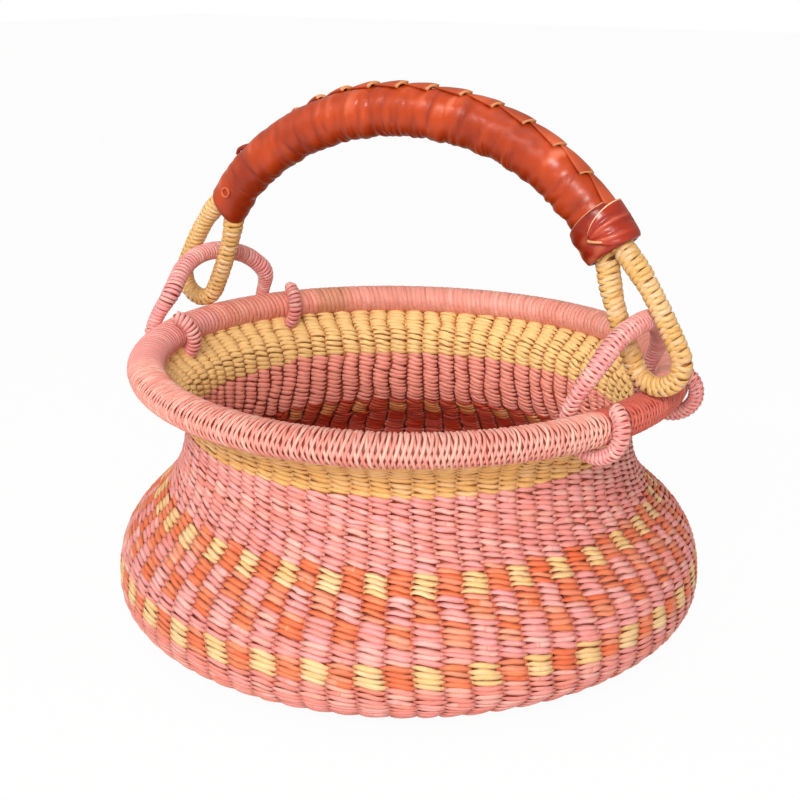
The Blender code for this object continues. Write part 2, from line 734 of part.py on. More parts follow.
def build():
    clear_scene()
    salmon = material("salmon_straw", (0.62, 0.22, 0.17), 0.7)
    check = material("checked_straw", (0.78, 0.42, 0.15), 0.7)
    pink = material("pink_straw", (0.83, 0.36, 0.33), 0.7)
    orange = material("orange_straw", (0.68, 0.17, 0.06), 0.7)
    natural = material("natural_straw", (0.80, 0.50, 0.22), 0.7)
    rolled = material("rim_straw", (0.80, 0.36, 0.30), 0.65)
    core = material("core_grass", (0.45, 0.30, 0.14), 0.85)
    rope = material("rope_straw", (0.82, 0.55, 0.27), 0.65)
    leather = material("sleeve_leather", (0.50, 0.09, 0.02), 0.38)
    strap = material("strap_leather", (0.58, 0.12, 0.04), 0.42)
    looks = [salmon, check, pink, orange, check, pink, natural]
    stops = [start for _, start, _ in BAND_SHARES[1:]] + [1.0]
    woven_base(salmon)
    bands = []
    for (name, start, rows), stop, look in zip(BAND_SHARES, stops, looks):
        bands.append(woven_band(name, start, stop, rows, look))
    rim_core(core)
    rim_wrap(rolled)
    ear_rope("ear_left", LEFT_EAR, LEFT_LINK, pink)
    ear_rope("ear_right", RIGHT_EAR, RIGHT_LINK, pink)
    cut_notches(bands[-1], natural)
    handle_rope(rope)
    leather_sleeve(leather)
    lacing_thong(strap)
    end_cuff(leather)
    thong_flap(strap)
    thong_knot(strap)
    pivot = bpy.data.objects.new("handle_pivot", None)
    bpy.context.scene.collection.objects.link(pivot)
    pivot.location = (0.0, 0.0, RIM_HEIGHT + PIVOT_RISE)
    for name in ("handle_rope", "leather_sleeve", "lacing_thong", "end_cuff", "thong_flap", "thong_knot"):
        item = bpy.data.objects[name]
        item.parent = pivot
        item.matrix_parent_inverse = pivot.matrix_basis.inverted()


build()
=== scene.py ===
# %% [markdown]
# # A bolga basket in straw and leather
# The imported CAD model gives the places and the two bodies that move: the basket and its handle.
# This file gives them their looks. Almost everything on the real basket is straw that goes round
# something: two strands twined round upright stakes make the wall, and one strand wound round and
# round makes the rim, the ears and the rope of the handle. So most of this file is two Geometry
# Nodes trees, one that twines and one that winds, used again and again with other sizes.

# %% Load the frame
import json
import math

import bmesh
import bpy
import numpy as np
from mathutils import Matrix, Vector

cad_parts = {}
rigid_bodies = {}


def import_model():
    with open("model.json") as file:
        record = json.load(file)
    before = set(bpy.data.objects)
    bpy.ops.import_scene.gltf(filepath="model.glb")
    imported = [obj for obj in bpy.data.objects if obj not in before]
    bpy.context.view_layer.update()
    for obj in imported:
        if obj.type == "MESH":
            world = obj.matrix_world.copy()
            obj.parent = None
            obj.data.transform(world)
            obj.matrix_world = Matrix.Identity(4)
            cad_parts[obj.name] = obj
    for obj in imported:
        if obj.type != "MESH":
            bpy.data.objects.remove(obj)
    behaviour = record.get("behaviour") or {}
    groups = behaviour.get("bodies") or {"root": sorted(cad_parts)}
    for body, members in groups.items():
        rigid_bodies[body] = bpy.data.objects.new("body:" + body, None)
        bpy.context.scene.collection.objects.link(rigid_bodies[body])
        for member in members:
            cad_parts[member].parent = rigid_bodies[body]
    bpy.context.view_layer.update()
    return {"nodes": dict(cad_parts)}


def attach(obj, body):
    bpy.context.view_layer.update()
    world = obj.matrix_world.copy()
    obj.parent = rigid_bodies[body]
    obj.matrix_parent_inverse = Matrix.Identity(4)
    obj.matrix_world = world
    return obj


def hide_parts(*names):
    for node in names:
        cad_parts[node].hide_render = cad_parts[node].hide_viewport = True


for leftover in list(bpy.data.objects):
    bpy.data.objects.remove(leftover, do_unlink=True)
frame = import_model()
print("CAD nodes:", sorted(frame["nodes"]))

# %% [markdown]
# ## Writing node trees as sums
# A node tree is only a sum drawn with boxes. It could be built by making each node, finding its
# sockets and linking them, but that takes several lines for each plus sign. A small class lets the
# sums be written as Python sums instead: each Wire is one output in a tree, and adding or
# multiplying two wires adds a Math node.


# %% A wire in a node tree
class Wire:
    """One output of a node, which can be used in a sum."""

    def __init__(self, tree, socket):
        self.tree = tree
        self.socket = socket

    def math(self, operation, *others):
        """Put a Math node behind this wire."""
        return put(self.tree, "ShaderNodeMath", dict(enumerate((self, *others))), operation=operation)

    def __add__(self, other):
        return self.math("ADD", other)

    def __sub__(self, other):
        return self.math("SUBTRACT", other)

    def __mul__(self, other):
        return self.math("MULTIPLY", other)

    def __truediv__(self, other):
        return self.math("DIVIDE", other)

    def __pow__(self, other):
        return self.math("POWER", other)

    def __rsub__(self, other):
        return (self * -1.0) + other

    def __neg__(self):
        return self * -1.0


def plug(tree, slot, value):
    """Link a wire to a socket, or set the socket's own value."""
    if isinstance(value, Wire):
        tree.links.new(value.socket, slot)
    else:
        slot.default_value = value


def find(sockets, name):
    """The live socket of that name: some nodes keep one socket for each data type."""
    return next(s for s in sockets if s.name == name and s.enabled)


def put(tree, kind, inputs=None, out=0, **settings):
    """Add a node, fill in its inputs, and give back one of its outputs as a wire."""
    node = tree.nodes.new(kind)
    for name, value in settings.items():
        setattr(node, name, value)
    for name, value in (inputs or {}).items():
        plug(tree, find(node.inputs, name) if isinstance(name, str) else node.inputs[name], value)
    return Wire(tree, find(node.outputs, out) if isinstance(out, str) else node.outputs[out])


def outputs(wire, *names):
    """More outputs of the node that a wire comes from."""
    return [Wire(wire.tree, find(wire.socket.node.outputs, name)) for name in names]


def vector(tree, x, y, z):
    """Three wires or numbers as one vector."""
    return put(tree, "ShaderNodeCombineXYZ", {"X": x, "Y": y, "Z": z})


def parts_of(tree, wire):
    """The x, y and z of a vector."""
    return outputs(put(tree, "ShaderNodeSeparateXYZ", {"Vector": wire}), "X", "Y", "Z")


def vector_sum(tree, operation, *values):
    """A sum with whole vectors."""
    return put(tree, "ShaderNodeVectorMath", dict(enumerate(values)), operation=operation)


def scaled(tree, wire, factor):
    """A vector made longer or shorter."""
    return put(tree, "ShaderNodeVectorMath", {0: wire, "Scale": factor}, operation="SCALE")


def cosine_and_sine(angle):
    """The cosine and the sine of an angle."""
    return angle.math("COSINE"), angle.math("SINE")


def clamped(tree, value):
    """A number kept between 0 and 1."""
    return put(tree, "ShaderNodeClamp", {"Value": value})


def map_range(tree, value, low, high, to_low=0.0, to_high=1.0, smooth=False):
    """A number moved from one range into another, and kept inside it."""
    return put(tree, "ShaderNodeMapRange",
               {"Value": value, "From Min": low, "From Max": high, "To Min": to_low, "To Max": to_high},
               interpolation_type="SMOOTHSTEP" if smooth else "LINEAR")


def noise(tree, place, scale, detail=1.0):
    """Soft noise; more detail makes it rougher."""
    return put(tree, "ShaderNodeTexNoise", {"Vector": place, "Scale": scale, "Detail": detail})


SOCKETS = {float: "NodeSocketFloat", int: "NodeSocketInt", tuple: "NodeSocketColor",
           "object": "NodeSocketObject", "material": "NodeSocketMaterial", "vector": "NodeSocketVector"}


def new_tree(name, kind, inputs, results):
    """An empty node group with named inputs, its inputs as wires by name, and its output node."""
    tree = bpy.data.node_groups.new(name, kind)
    for label, value in inputs.items():
        only_kind = isinstance(value, str)
        made = tree.interface.new_socket(label, in_out="INPUT",
                                         socket_type=SOCKETS[value if only_kind else type(value)])
        if not only_kind:
            made.default_value = value
    for label, socket_type in results.items():
        tree.interface.new_socket(label, in_out="OUTPUT", socket_type=socket_type)
    start = tree.nodes.new("NodeGroupInput")
    end = tree.nodes.new("NodeGroupOutput")
    return tree, {label: Wire(tree, start.outputs[label]) for label in inputs}, end


print("tree helpers ready")

# %% [markdown]
# ## Geometry Nodes as a maker of plain meshes
# What repeats or follows a path is made by Geometry Nodes, because one tree with a few named sizes
# serves many pieces. A tree could stay on its piece as a live modifier, but what is exported and
# moved here is plain meshes. So each tree is put on an empty object, its inputs are set by the
# sockets' identifiers, and the result is copied out. The modifier and the helper then go away.


# %% Run a tree once
def add_object(name, data):
    """A new object in the scene, at the origin."""
    made = bpy.data.objects.new(name, data)
    bpy.context.scene.collection.objects.link(made)
    return made


def run_tree(name, tree, values):
    """The mesh that a Geometry Nodes tree makes with these input values."""
    host = add_object(name + "_host", bpy.data.meshes.new(name + "_host"))
    modifier = host.modifiers.new("made", "NODES")
    modifier.node_group = tree
    for item in tree.interface.items_tree:
        if item.item_type == "SOCKET" and item.in_out == "INPUT" and item.name in values:
            modifier[item.identifier] = values[item.name]
    shape = host.evaluated_get(bpy.context.evaluated_depsgraph_get())
    mesh = bpy.data.meshes.new_from_object(shape)
    mesh.name = name
    host.modifiers.remove(modifier)
    bpy.data.objects.remove(host, do_unlink=True)
    return mesh


def show(name, mesh, body, slot, *nodes):
    """Make a mesh a piece of the object: on which body and for which CAD nodes; the slot for its finish is
    not used.
    """
    piece = add_object(name, mesh)
    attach(piece, body)
    if nodes:
        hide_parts(*nodes)
    mesh.calc_loop_triangles()
    print(f"{name}: {len(mesh.loop_triangles)} triangles on {body}")
    return piece


def join_meshes(name, meshes):
    """Several plain meshes as one."""
    holders = [add_object(name, mesh) for mesh in meshes]
    with bpy.context.temp_override(active_object=holders[0], selected_objects=holders,
                                   selected_editable_objects=holders):
        bpy.ops.object.join()
    joined = holders[0].data
    bpy.data.objects.remove(holders[0], do_unlink=True)
    joined.name = name
    return joined


guides = []


def guide(name, points, radii=None, cyclic=False, upright=False):
    """A hidden curve for a tree to follow, taken away at the end."""
    data = bpy.data.curves.new(name, "CURVE")
    data.dimensions = "3D"
    data.twist_mode = "Z_UP" if upright else "MINIMUM"
    spline = data.splines.new("POLY")
    spline.points.add(len(points) - 1)
    rows = np.concatenate([np.asarray(points, float), np.ones((len(points), 1))], axis=1)
    spline.points.foreach_set("co", rows.astype(np.float32).ravel())
    if radii is not None:
        spline.points.foreach_set("radius", np.asarray(radii, np.float32))
    spline.use_cyclic_u = cyclic
    made = add_object(name, data)
    guides.append(made)
    return made


print("piece helpers ready")

# %% [markdown]
# ## The basket's sizes
# The same named sizes as in the CAD source, in metres. The wall is one outline turned round the
# upright axis: a rounded edge at the bottom, the belly, a hollow neck, and a flare into the rim. The
# outline could be a curve drawn by hand. Here it is calculated, so that the straw lies exactly where
# the solids are.

# %% Sizes of the woven body
STAKES = 74
BASE_RADIUS = 0.1095
BELLY_RADIUS = 0.1606
BELLY_HEIGHT = 0.0262
NECK_RADIUS = 0.1213
NECK_HEIGHT = 0.1094
WALL = 0.0045
RIM_RADIUS = 0.1400
RIM_HEIGHT = 0.1368
RIM_HALF_WIDE = 0.0100
RIM_HALF_THICK = 0.0085
RIM_WRAP = 0.0016
CLEARANCE = 0.0003
# The mouth rises most at this angle, and the rise grows from the belly up to this share of the way.
LIFT = 0.0050
LIFT_ANGLE = math.radians(200.0)
LIFT_SHARE = 0.8
# How square the belly is underneath, how far the curves run straight on before they bend (share of
# their height), and the direction in which the wall enters the rim.
BELLY_SQUARENESS = 2.455
BELLY_PULL, NECK_PULL, FLARE_PULL, ENTRY_PULL = 0.517, 0.628, 0.5, 0.6
ENTRY_ANGLE = math.radians(-130.0)
FULL_TURN = 2.0 * math.pi


def unit(v):
    """A direction with a length of 1."""
    return v / np.linalg.norm(v)


def smooth_step(value):
    """A soft step from 0 to 1."""
    value = np.clip(value, 0.0, 1.0)
    return value * value * (3.0 - 2.0 * value)


def bezier(points, count):
    """Points on a curve between two ends that two handles bend."""
    t = np.linspace(0.0, 1.0, count)[:, None]
    a, b, c, d = (np.asarray(p, float) for p in points)
    return (1 - t) ** 3 * a + 3 * (1 - t) ** 2 * t * b + 3 * (1 - t) * t * t * c + t ** 3 * d


def wall_end():
    """Where the wall's outer face stops inside the rim, and which way it points there."""
    entry = np.array([math.cos(ENTRY_ANGLE), math.sin(ENTRY_ANGLE)])
    wide = RIM_HALF_WIDE - RIM_WRAP - CLEARANCE
    thick = RIM_HALF_THICK - RIM_WRAP - CLEARANCE
    reach = 1.0 / math.hypot(entry[0] / wide, entry[1] / thick)
    middle = np.array([RIM_RADIUS, RIM_HEIGHT]) + entry * (reach + CLEARANCE)
    return middle + np.array([-entry[1], entry[0]]) * WALL / 2, -entry


def wall_outline():
    """Radius and height of the wall's outer face, from the edge of the base into the rim."""
    angles = np.linspace(0.0, math.pi / 2, 40)
    power = 2.0 / BELLY_SQUARENESS
    low = np.stack([BASE_RADIUS + (BELLY_RADIUS - BASE_RADIUS) * np.sin(angles) ** power,
                    BELLY_HEIGHT * (1.0 - np.cos(angles) ** power)], axis=1)
    rise = NECK_HEIGHT - BELLY_HEIGHT
    middle = bezier([(BELLY_RADIUS, BELLY_HEIGHT), (BELLY_RADIUS, BELLY_HEIGHT + BELLY_PULL * rise),
                     (NECK_RADIUS, NECK_HEIGHT - NECK_PULL * rise), (NECK_RADIUS, NECK_HEIGHT)], 40)
    end, heading = wall_end()
    flare = RIM_HEIGHT - RIM_HALF_THICK - NECK_HEIGHT
    top = bezier([(NECK_RADIUS, NECK_HEIGHT), (NECK_RADIUS, NECK_HEIGHT + FLARE_PULL * flare),
                  end - heading * ENTRY_PULL * flare, end], 24)
    return np.concatenate([low, middle[1:], top[1:]])


outline = wall_outline()
OUTLINE_LENGTH = np.linalg.norm(np.diff(outline, axis=0), axis=1).sum()
print(f"the wall is {OUTLINE_LENGTH * 1000:.1f} mm from base to rim")

# %% [markdown]
# ## A mouth that isn't quite level
# The rim of a basket made by hand rises a little at one place. A lattice could bend the finished
# pieces, but each of them would need it and they might part. So the same small lift is written
# twice: once for points made in Python, and once as a node group for points made in a tree.


# %% The lift of the mouth
def lift_points(points):
    """Points with the lift added to their height."""
    points = np.array(points, float)
    angle = np.arctan2(points[:, 1], points[:, 0])
    around = (0.5 + 0.5 * np.cos(angle - LIFT_ANGLE)) ** 3
    upward = smooth_step((points[:, 2] - BELLY_HEIGHT) / (LIFT_SHARE * (RIM_HEIGHT - BELLY_HEIGHT)))
    points[:, 2] += LIFT * around * upward
    return points


def lift_tree():
    """The same lift as a node group."""
    tree, given, end = new_tree("lift_of_the_mouth", "GeometryNodeTree", {"Point": "vector"},
                                {"Position": "NodeSocketVector"})
    x, y, z = parts_of(tree, given["Point"])
    angle = y.math("ARCTAN2", x)
    around = ((angle - LIFT_ANGLE).math("COSINE") * 0.5 + 0.5) ** 3.0
    upward = map_range(tree, z, BELLY_HEIGHT, BELLY_HEIGHT + LIFT_SHARE * (RIM_HEIGHT - BELLY_HEIGHT),
                       smooth=True)
    plug(tree, end.inputs[0], vector(tree, x, y, z + around * upward * LIFT))
    return tree


lift_group = lift_tree()


def lifted(tree, point):
    """Put the lift into another tree."""
    return put(tree, "GeometryNodeGroup", {0: point}, node_tree=lift_group)


print("the mouth rises by", LIFT * 1000, "mm")

# %% [markdown]
# ## Straw
# Dyed straw is never one colour: each straw took the dye in its own way, and fine fibres run along
# it. Where it dives between the stakes it is painted darker, which is painted shade. A painted image
# could show all that, but it would need a flat map of every strand. Instead the trees store numbers
# on the strands: how far a point lies along and round its strand (run, around), a chance number for
# each straw (tone), which of the two twined strands it is (strand), how much painted shade it gets
# where it lies deep (dive), and whether it is on the inside of the wall or in a patch of another dye
# (inner). On the inside of the wall the colour is painted darker in the lower bands and lighter in
# the natural band: painted shade and painted light. One shader group turns these into colour,
# roughness and height, and each straw material puts its own dyes into it.


# %% The straw shader group
def linear(red, green, blue):
    """A colour as it looks on a screen, 0 to 255, as the linear colour that a shader wants."""
    def one(c):
        c = c / 255.0
        return c / 12.92 if c <= 0.04045 else ((c + 0.055) / 1.055) ** 2.4
    return (one(red), one(green), one(blue), 1.0)


def attribute(tree, name):
    """A number that the mesh carries, read by a shader."""
    return put(tree, "ShaderNodeAttribute", out="Fac", attribute_name=name)


def mixed(tree, factor, first, second, blend="MIX"):
    """The second colour over the first."""
    return put(tree, "ShaderNodeMix", {0: factor, 6: first, 7: second}, out=2, data_type="RGBA",
               blend_type=blend)


WHITE = (1.0, 1.0, 1.0, 1.0)
BLEACHED = linear(255, 232, 208)
# How many times finer the blotches of dye and the fibres are than the numbers on the strands, and
# how dark and how light the fibres are.
BLOTCH_FINENESS, FIBRE_FINENESS = (1000.0, 57.0), (60.0, 2.2, 31.0)
FIBRE_DARK, FIBRE_LIGHT = 0.70, 1.12
# What the tone and the blotches add to the second dye, from where, and how strongly; which share of
# the straws stays unbleached; and how late the painted shade comes where the straw dives.
TONE_WEIGHT, BLOTCH_WEIGHT, SECOND_DYE_FROM, CONTRAST = 0.75, 1.3, 0.75, 1.5
UNBLEACHED = 0.45
PAINTED_SHADE_POWER = 1.6
STRAW_ROUGHNESS, FIBRE_ROUGHNESS = 0.33, 0.25


def straw_tree():
    """Colour, roughness and height of dyed straw."""
    tree, given, end = new_tree(
        "straw_fibres", "ShaderNodeTree",
        {"Dye": WHITE, "Other Dye": WHITE, "Inner Colour and Painted Inside Light and Shade": WHITE, "Painted Shade": WHITE, "Unevenness": 0.5,
         "Depth Shade": 0.6, "Bleach": 0.3},
        {"Color": "NodeSocketColor", "Roughness": "NodeSocketFloat", "Height": "NodeSocketFloat"})
    tone = attribute(tree, "tone")
    run = attribute(tree, "run")
    around = attribute(tree, "around")
    dive = attribute(tree, "dive")
    blotch = noise(tree, vector(tree, run * BLOTCH_FINENESS[0], tone * BLOTCH_FINENESS[1], 0.0),
                   0.045, 2.0)
    fibre = noise(tree, vector(tree, run * FIBRE_FINENESS[0],
                               (around * FULL_TURN).math("SINE") * FIBRE_FINENESS[1],
                               tone * FIBRE_FINENESS[2]), 2.4, 3.0)
    share = tone * TONE_WEIGHT + blotch * BLOTCH_WEIGHT - SECOND_DYE_FROM
    share = clamped(tree, share * given["Unevenness"] * CONTRAST)
    dyed = mixed(tree, share, given["Dye"], given["Other Dye"])
    pale = map_range(tree, (tone * 7.3).math("FRACT"), UNBLEACHED, 1.0)
    dyed = mixed(tree, pale * given["Bleach"], dyed, BLEACHED)
    # On the inside of the wall the inner colour is painted shade, and painted light in the natural band;
    # on the rim it is a patch of another dye, on the stakes their undyed tops.
    dyed = mixed(tree, attribute(tree, "inner"), dyed, given["Inner Colour and Painted Inside Light and Shade"])
    streak = map_range(tree, fibre, 0.32, 0.68, FIBRE_DARK, FIBRE_LIGHT)
    dyed = mixed(tree, 1.0, dyed, vector(tree, streak, streak, streak), "MULTIPLY")
    # Darker where the straw dives between the stakes or lies under another straw: painted shade.
    sunk = clamped(tree, (dive ** PAINTED_SHADE_POWER) * given["Depth Shade"])
    plug(tree, end.inputs["Color"], mixed(tree, sunk, dyed, given["Painted Shade"]))
    plug(tree, end.inputs["Roughness"], fibre * FIBRE_ROUGHNESS + STRAW_ROUGHNESS)
    plug(tree, end.inputs["Height"], fibre)
    return tree


straw_group = straw_tree()
print("straw group:", len(straw_group.nodes), "nodes")

# %% Straw materials
# Strength and height of the fibres, and how much straw shines.
STRAW_BUMP = (0.6, 0.0004)
STRAW_SHINE = 0.5


def group_look(name, group, values, bump, shine):
    """A material whose colour, roughness and height come from a shader group."""
    look = bpy.data.materials.new(name)
    look.use_nodes = True
    tree = look.node_tree
    shader = tree.nodes["Principled BSDF"]
    node = tree.nodes.new("ShaderNodeGroup")
    node.node_tree = group
    for label, value in values.items():
        if isinstance(value, list):
            value = mixed(tree, attribute(tree, "strand"), *value) if len(value) == 2 else value[0]
        plug(tree, node.inputs[label], value)
    relief = tree.nodes.new("ShaderNodeBump")
    relief.inputs["Strength"].default_value, relief.inputs["Distance"].default_value = bump
    for source, target in ((node.outputs["Height"], relief.inputs["Height"]),
                           (relief.outputs["Normal"], shader.inputs["Normal"]),
                           (node.outputs["Color"], shader.inputs["Base Color"]),
                           (node.outputs["Roughness"], shader.inputs["Roughness"])):
        tree.links.new(source, target)
    shader.inputs["Specular IOR Level"].default_value = shine
    return look


def straw(name, dyes, other_dyes, deep, unevenness, inner=None, bleach=0.3):
    """A straw material. Two dyes in a list make a check: one for each of the twined strands. The deep
    colour is painted shade where the straw dives. The inner colours are painted shade and painted light
    on the inside of the wall, and a patch of another dye on the rim.
    """
    colours = {"Dye": dyes, "Other Dye": other_dyes, "Inner Colour and Painted Inside Light and Shade": inner or dyes, "Painted Shade": [deep]}
    values = {label: [linear(*dye) for dye in pair] for label, pair in colours.items()}
    return group_look(name, straw_group, {**values, "Unevenness": unevenness, "Bleach": bleach},
                      STRAW_BUMP, STRAW_SHINE)


PINK = (248, 164, 161)
SALMON = (241, 137, 116)
ORANGE = (237, 110, 64)
ORANGE_OTHER = (239, 143, 98)
YELLOW = (250, 209, 150)
NATURAL = (244, 189, 114)
YELLOW_OTHER = (240, 188, 112)
# Colours on the inside of the wall, darker than the dyes: painted shade.
INNER_RED_PAINTED_SHADE = (196, 64, 36)
INNER_ROSE_PAINTED_SHADE = (206, 88, 68)
# The colours that the straws darken to where they dive: painted shade.
PINK_PAINTED_SHADE = (140, 40, 30)
CHECK_PAINTED_SHADE = (140, 45, 18)
SALMON_PAINTED_SHADE = (140, 40, 22)
STEP_PAINTED_SHADE = (140, 40, 20)
GRASS_PAINTED_SHADE = (60, 15, 8)
# Dyes, second dyes, painted shade where the straw dives, unevenness, colours on the inside of the wall
# (painted shade in the lower bands, painted light in the natural band), and bleach.
looks = {
    "salmon": straw("salmon_straw_look", [SALMON], [PINK], SALMON_PAINTED_SHADE, 0.8, [(158, 34, 14)]),
    "base": straw("base_straw_look", [SALMON], [PINK], SALMON_PAINTED_SHADE, 0.8, [(200, 74, 50)]),
    "check": straw("check_straw_look", [YELLOW, ORANGE], [YELLOW_OTHER, ORANGE_OTHER], CHECK_PAINTED_SHADE, 0.7,
                   [(222, 136, 74), INNER_RED_PAINTED_SHADE], 0.2),
    "check_high": straw("upper_check_straw_look", [YELLOW, ORANGE], [YELLOW_OTHER, ORANGE_OTHER],
                        CHECK_PAINTED_SHADE, 0.7, [(230, 152, 94), (212, 90, 62)], 0.2),
    "stripe": straw("stripe_straw_look", [PINK], [SALMON], PINK_PAINTED_SHADE, 0.8, [INNER_ROSE_PAINTED_SHADE]),
    "pink": straw("pink_straw_look", [PINK], [SALMON], PINK_PAINTED_SHADE, 0.8, [(255, 164, 144)]),
    "step_high": straw("high_step_look", [ORANGE, PINK], [ORANGE_OTHER, SALMON], STEP_PAINTED_SHADE, 0.7,
                       [INNER_RED_PAINTED_SHADE, INNER_ROSE_PAINTED_SHADE]),
    "step_low": straw("low_step_look", [PINK, ORANGE], [SALMON, ORANGE_OTHER], STEP_PAINTED_SHADE, 0.7,
                      [INNER_ROSE_PAINTED_SHADE, INNER_RED_PAINTED_SHADE]),
    "natural": straw("natural_straw_look", [NATURAL], [(234, 173, 97)], (170, 94, 32), 0.7,
                     [(250, 205, 134)], 0.2),
}
print("straw looks:", sorted(looks))

# %% [markdown]
# ## Twining
# Two strands go round together. Where one passes outside a stake the other passes inside, and
# between the stakes they cross, so seen from outside there is one short slanting float on each stake
# in each row. One float could be modelled and set out on a grid, but then all would be alike and the
# strands would end at each crossing. So each strand is one long spiral, whose depth follows a cosine
# with one half wave for each stake. The second strand is the same spiral half a wave later.


# %% Helpers inside trees
def store(tree, geometry, name, value, data_type="FLOAT"):
    """Write a value on every point, for a later node or for the shader."""
    return put(tree, "GeometryNodeStoreNamedAttribute",
               {"Geometry": geometry, "Name": name, "Value": value}, data_type=data_type, domain="POINT")


def read(tree, name, data_type="FLOAT"):
    """A number or a vector that store wrote, read back on every point."""
    return put(tree, "GeometryNodeInputNamedAttribute", {"Name": name}, out="Attribute",
               data_type=data_type)


def chance(tree, number, seed, low=0.0, high=1.0):
    """A random number that stays the same for the same whole number."""
    return put(tree, "FunctionNodeRandomValue", {"Min": low, "Max": high, "ID": number, "Seed": seed},
               out="Value", data_type="FLOAT")


def shape_of(tree, source):
    """The curve or mesh of an object that the tree is given."""
    return put(tree, "GeometryNodeObjectInfo", {"Object": source}, out="Geometry")


def along_curve(tree, path, run):
    """Place, direction and normal on a curve, by distance from its start."""
    place = put(tree, "GeometryNodeSampleCurve", {"Curves": path, "Length": run}, mode="LENGTH",
                out="Position")
    return place, *outputs(place, "Tangent", "Normal")


def oval(tree, half_x, half_y, sides):
    """An oval ring, with the place round it stored on its points."""
    ring = put(tree, "GeometryNodeCurvePrimitiveCircle", {"Resolution": sides, "Radius": 1.0},
               mode="RADIUS")
    ring = store(tree, ring, "around", put(tree, "GeometryNodeSplineParameter", out="Factor"))
    return put(tree, "GeometryNodeTransform",
               {"Geometry": ring, "Scale": vector(tree, half_x, half_y, 1.0)})


def sweep(tree, curve, ring, scale):
    """A closed tube: a ring moved along a curve."""
    return put(tree, "GeometryNodeCurveToMesh",
               {"Curve": curve, "Profile Curve": ring, "Scale": scale, "Fill Caps": True})


def flat_sweep(tree, curve, half_thick, half_wide, sides, scale, normal):
    """A flat strand along a curve, its thin way along the given normal."""
    curve = put(tree, "GeometryNodeSetCurveNormal", {"Curve": curve, "Normal": normal}, mode="FREE")
    return sweep(tree, curve, oval(tree, half_thick, half_wide, sides), scale)


def finish_tree(tree, end, geometry, look):
    """End a tree: real meshes instead of instances, and their material."""
    geometry = put(tree, "GeometryNodeRealizeInstances", {"Geometry": geometry})
    geometry = put(tree, "GeometryNodeSetMaterial", {"Geometry": geometry, "Material": look})
    plug(tree, end.inputs[0], geometry)
    return tree


MESH = {"Mesh": "NodeSocketGeometry"}
print("helpers for the trees ready")


# %% The twining tree
# Length of a straw in floats, how far floats stand out, how deep they cross, and how square they are.
STRAW_LENGTH = 9.0
BULGE, CROSSING_DEPTH, SQUARENESS = 0.86, 0.20, 0.42
# How much rows drift and floats shake, as shares of a row, and how far stakes wander, in radians.
DRIFT, SHAKE, WANDER = 1.6, 1.5, 0.09
# What a straw and a float each add to the tone, and what a crossing and a dip add to the painted shade.
STRAW_TONE, FLOAT_TONE = 0.55, 0.45
CROSSING_SHADE, DIP_SHADE = 0.50, 0.30
# How quickly a strand counts as being on the inside, and how much it swells there.
INNER_SLOPE, INNER_OFFSET, INNER_SWELL = -1.6, 0.2, 0.16
# How far above its start the first row lies, as a share of a row, how late a float tapers, and how
# many metres of fibre pattern go once round.
FIRST_ROW, TAPER_POWER, RUN_PER_TURN = 0.1, 0.7, 0.9
# Keeps the numbers of the second strand's straws apart from the first one's.
STRAND_STEP = 5003.0


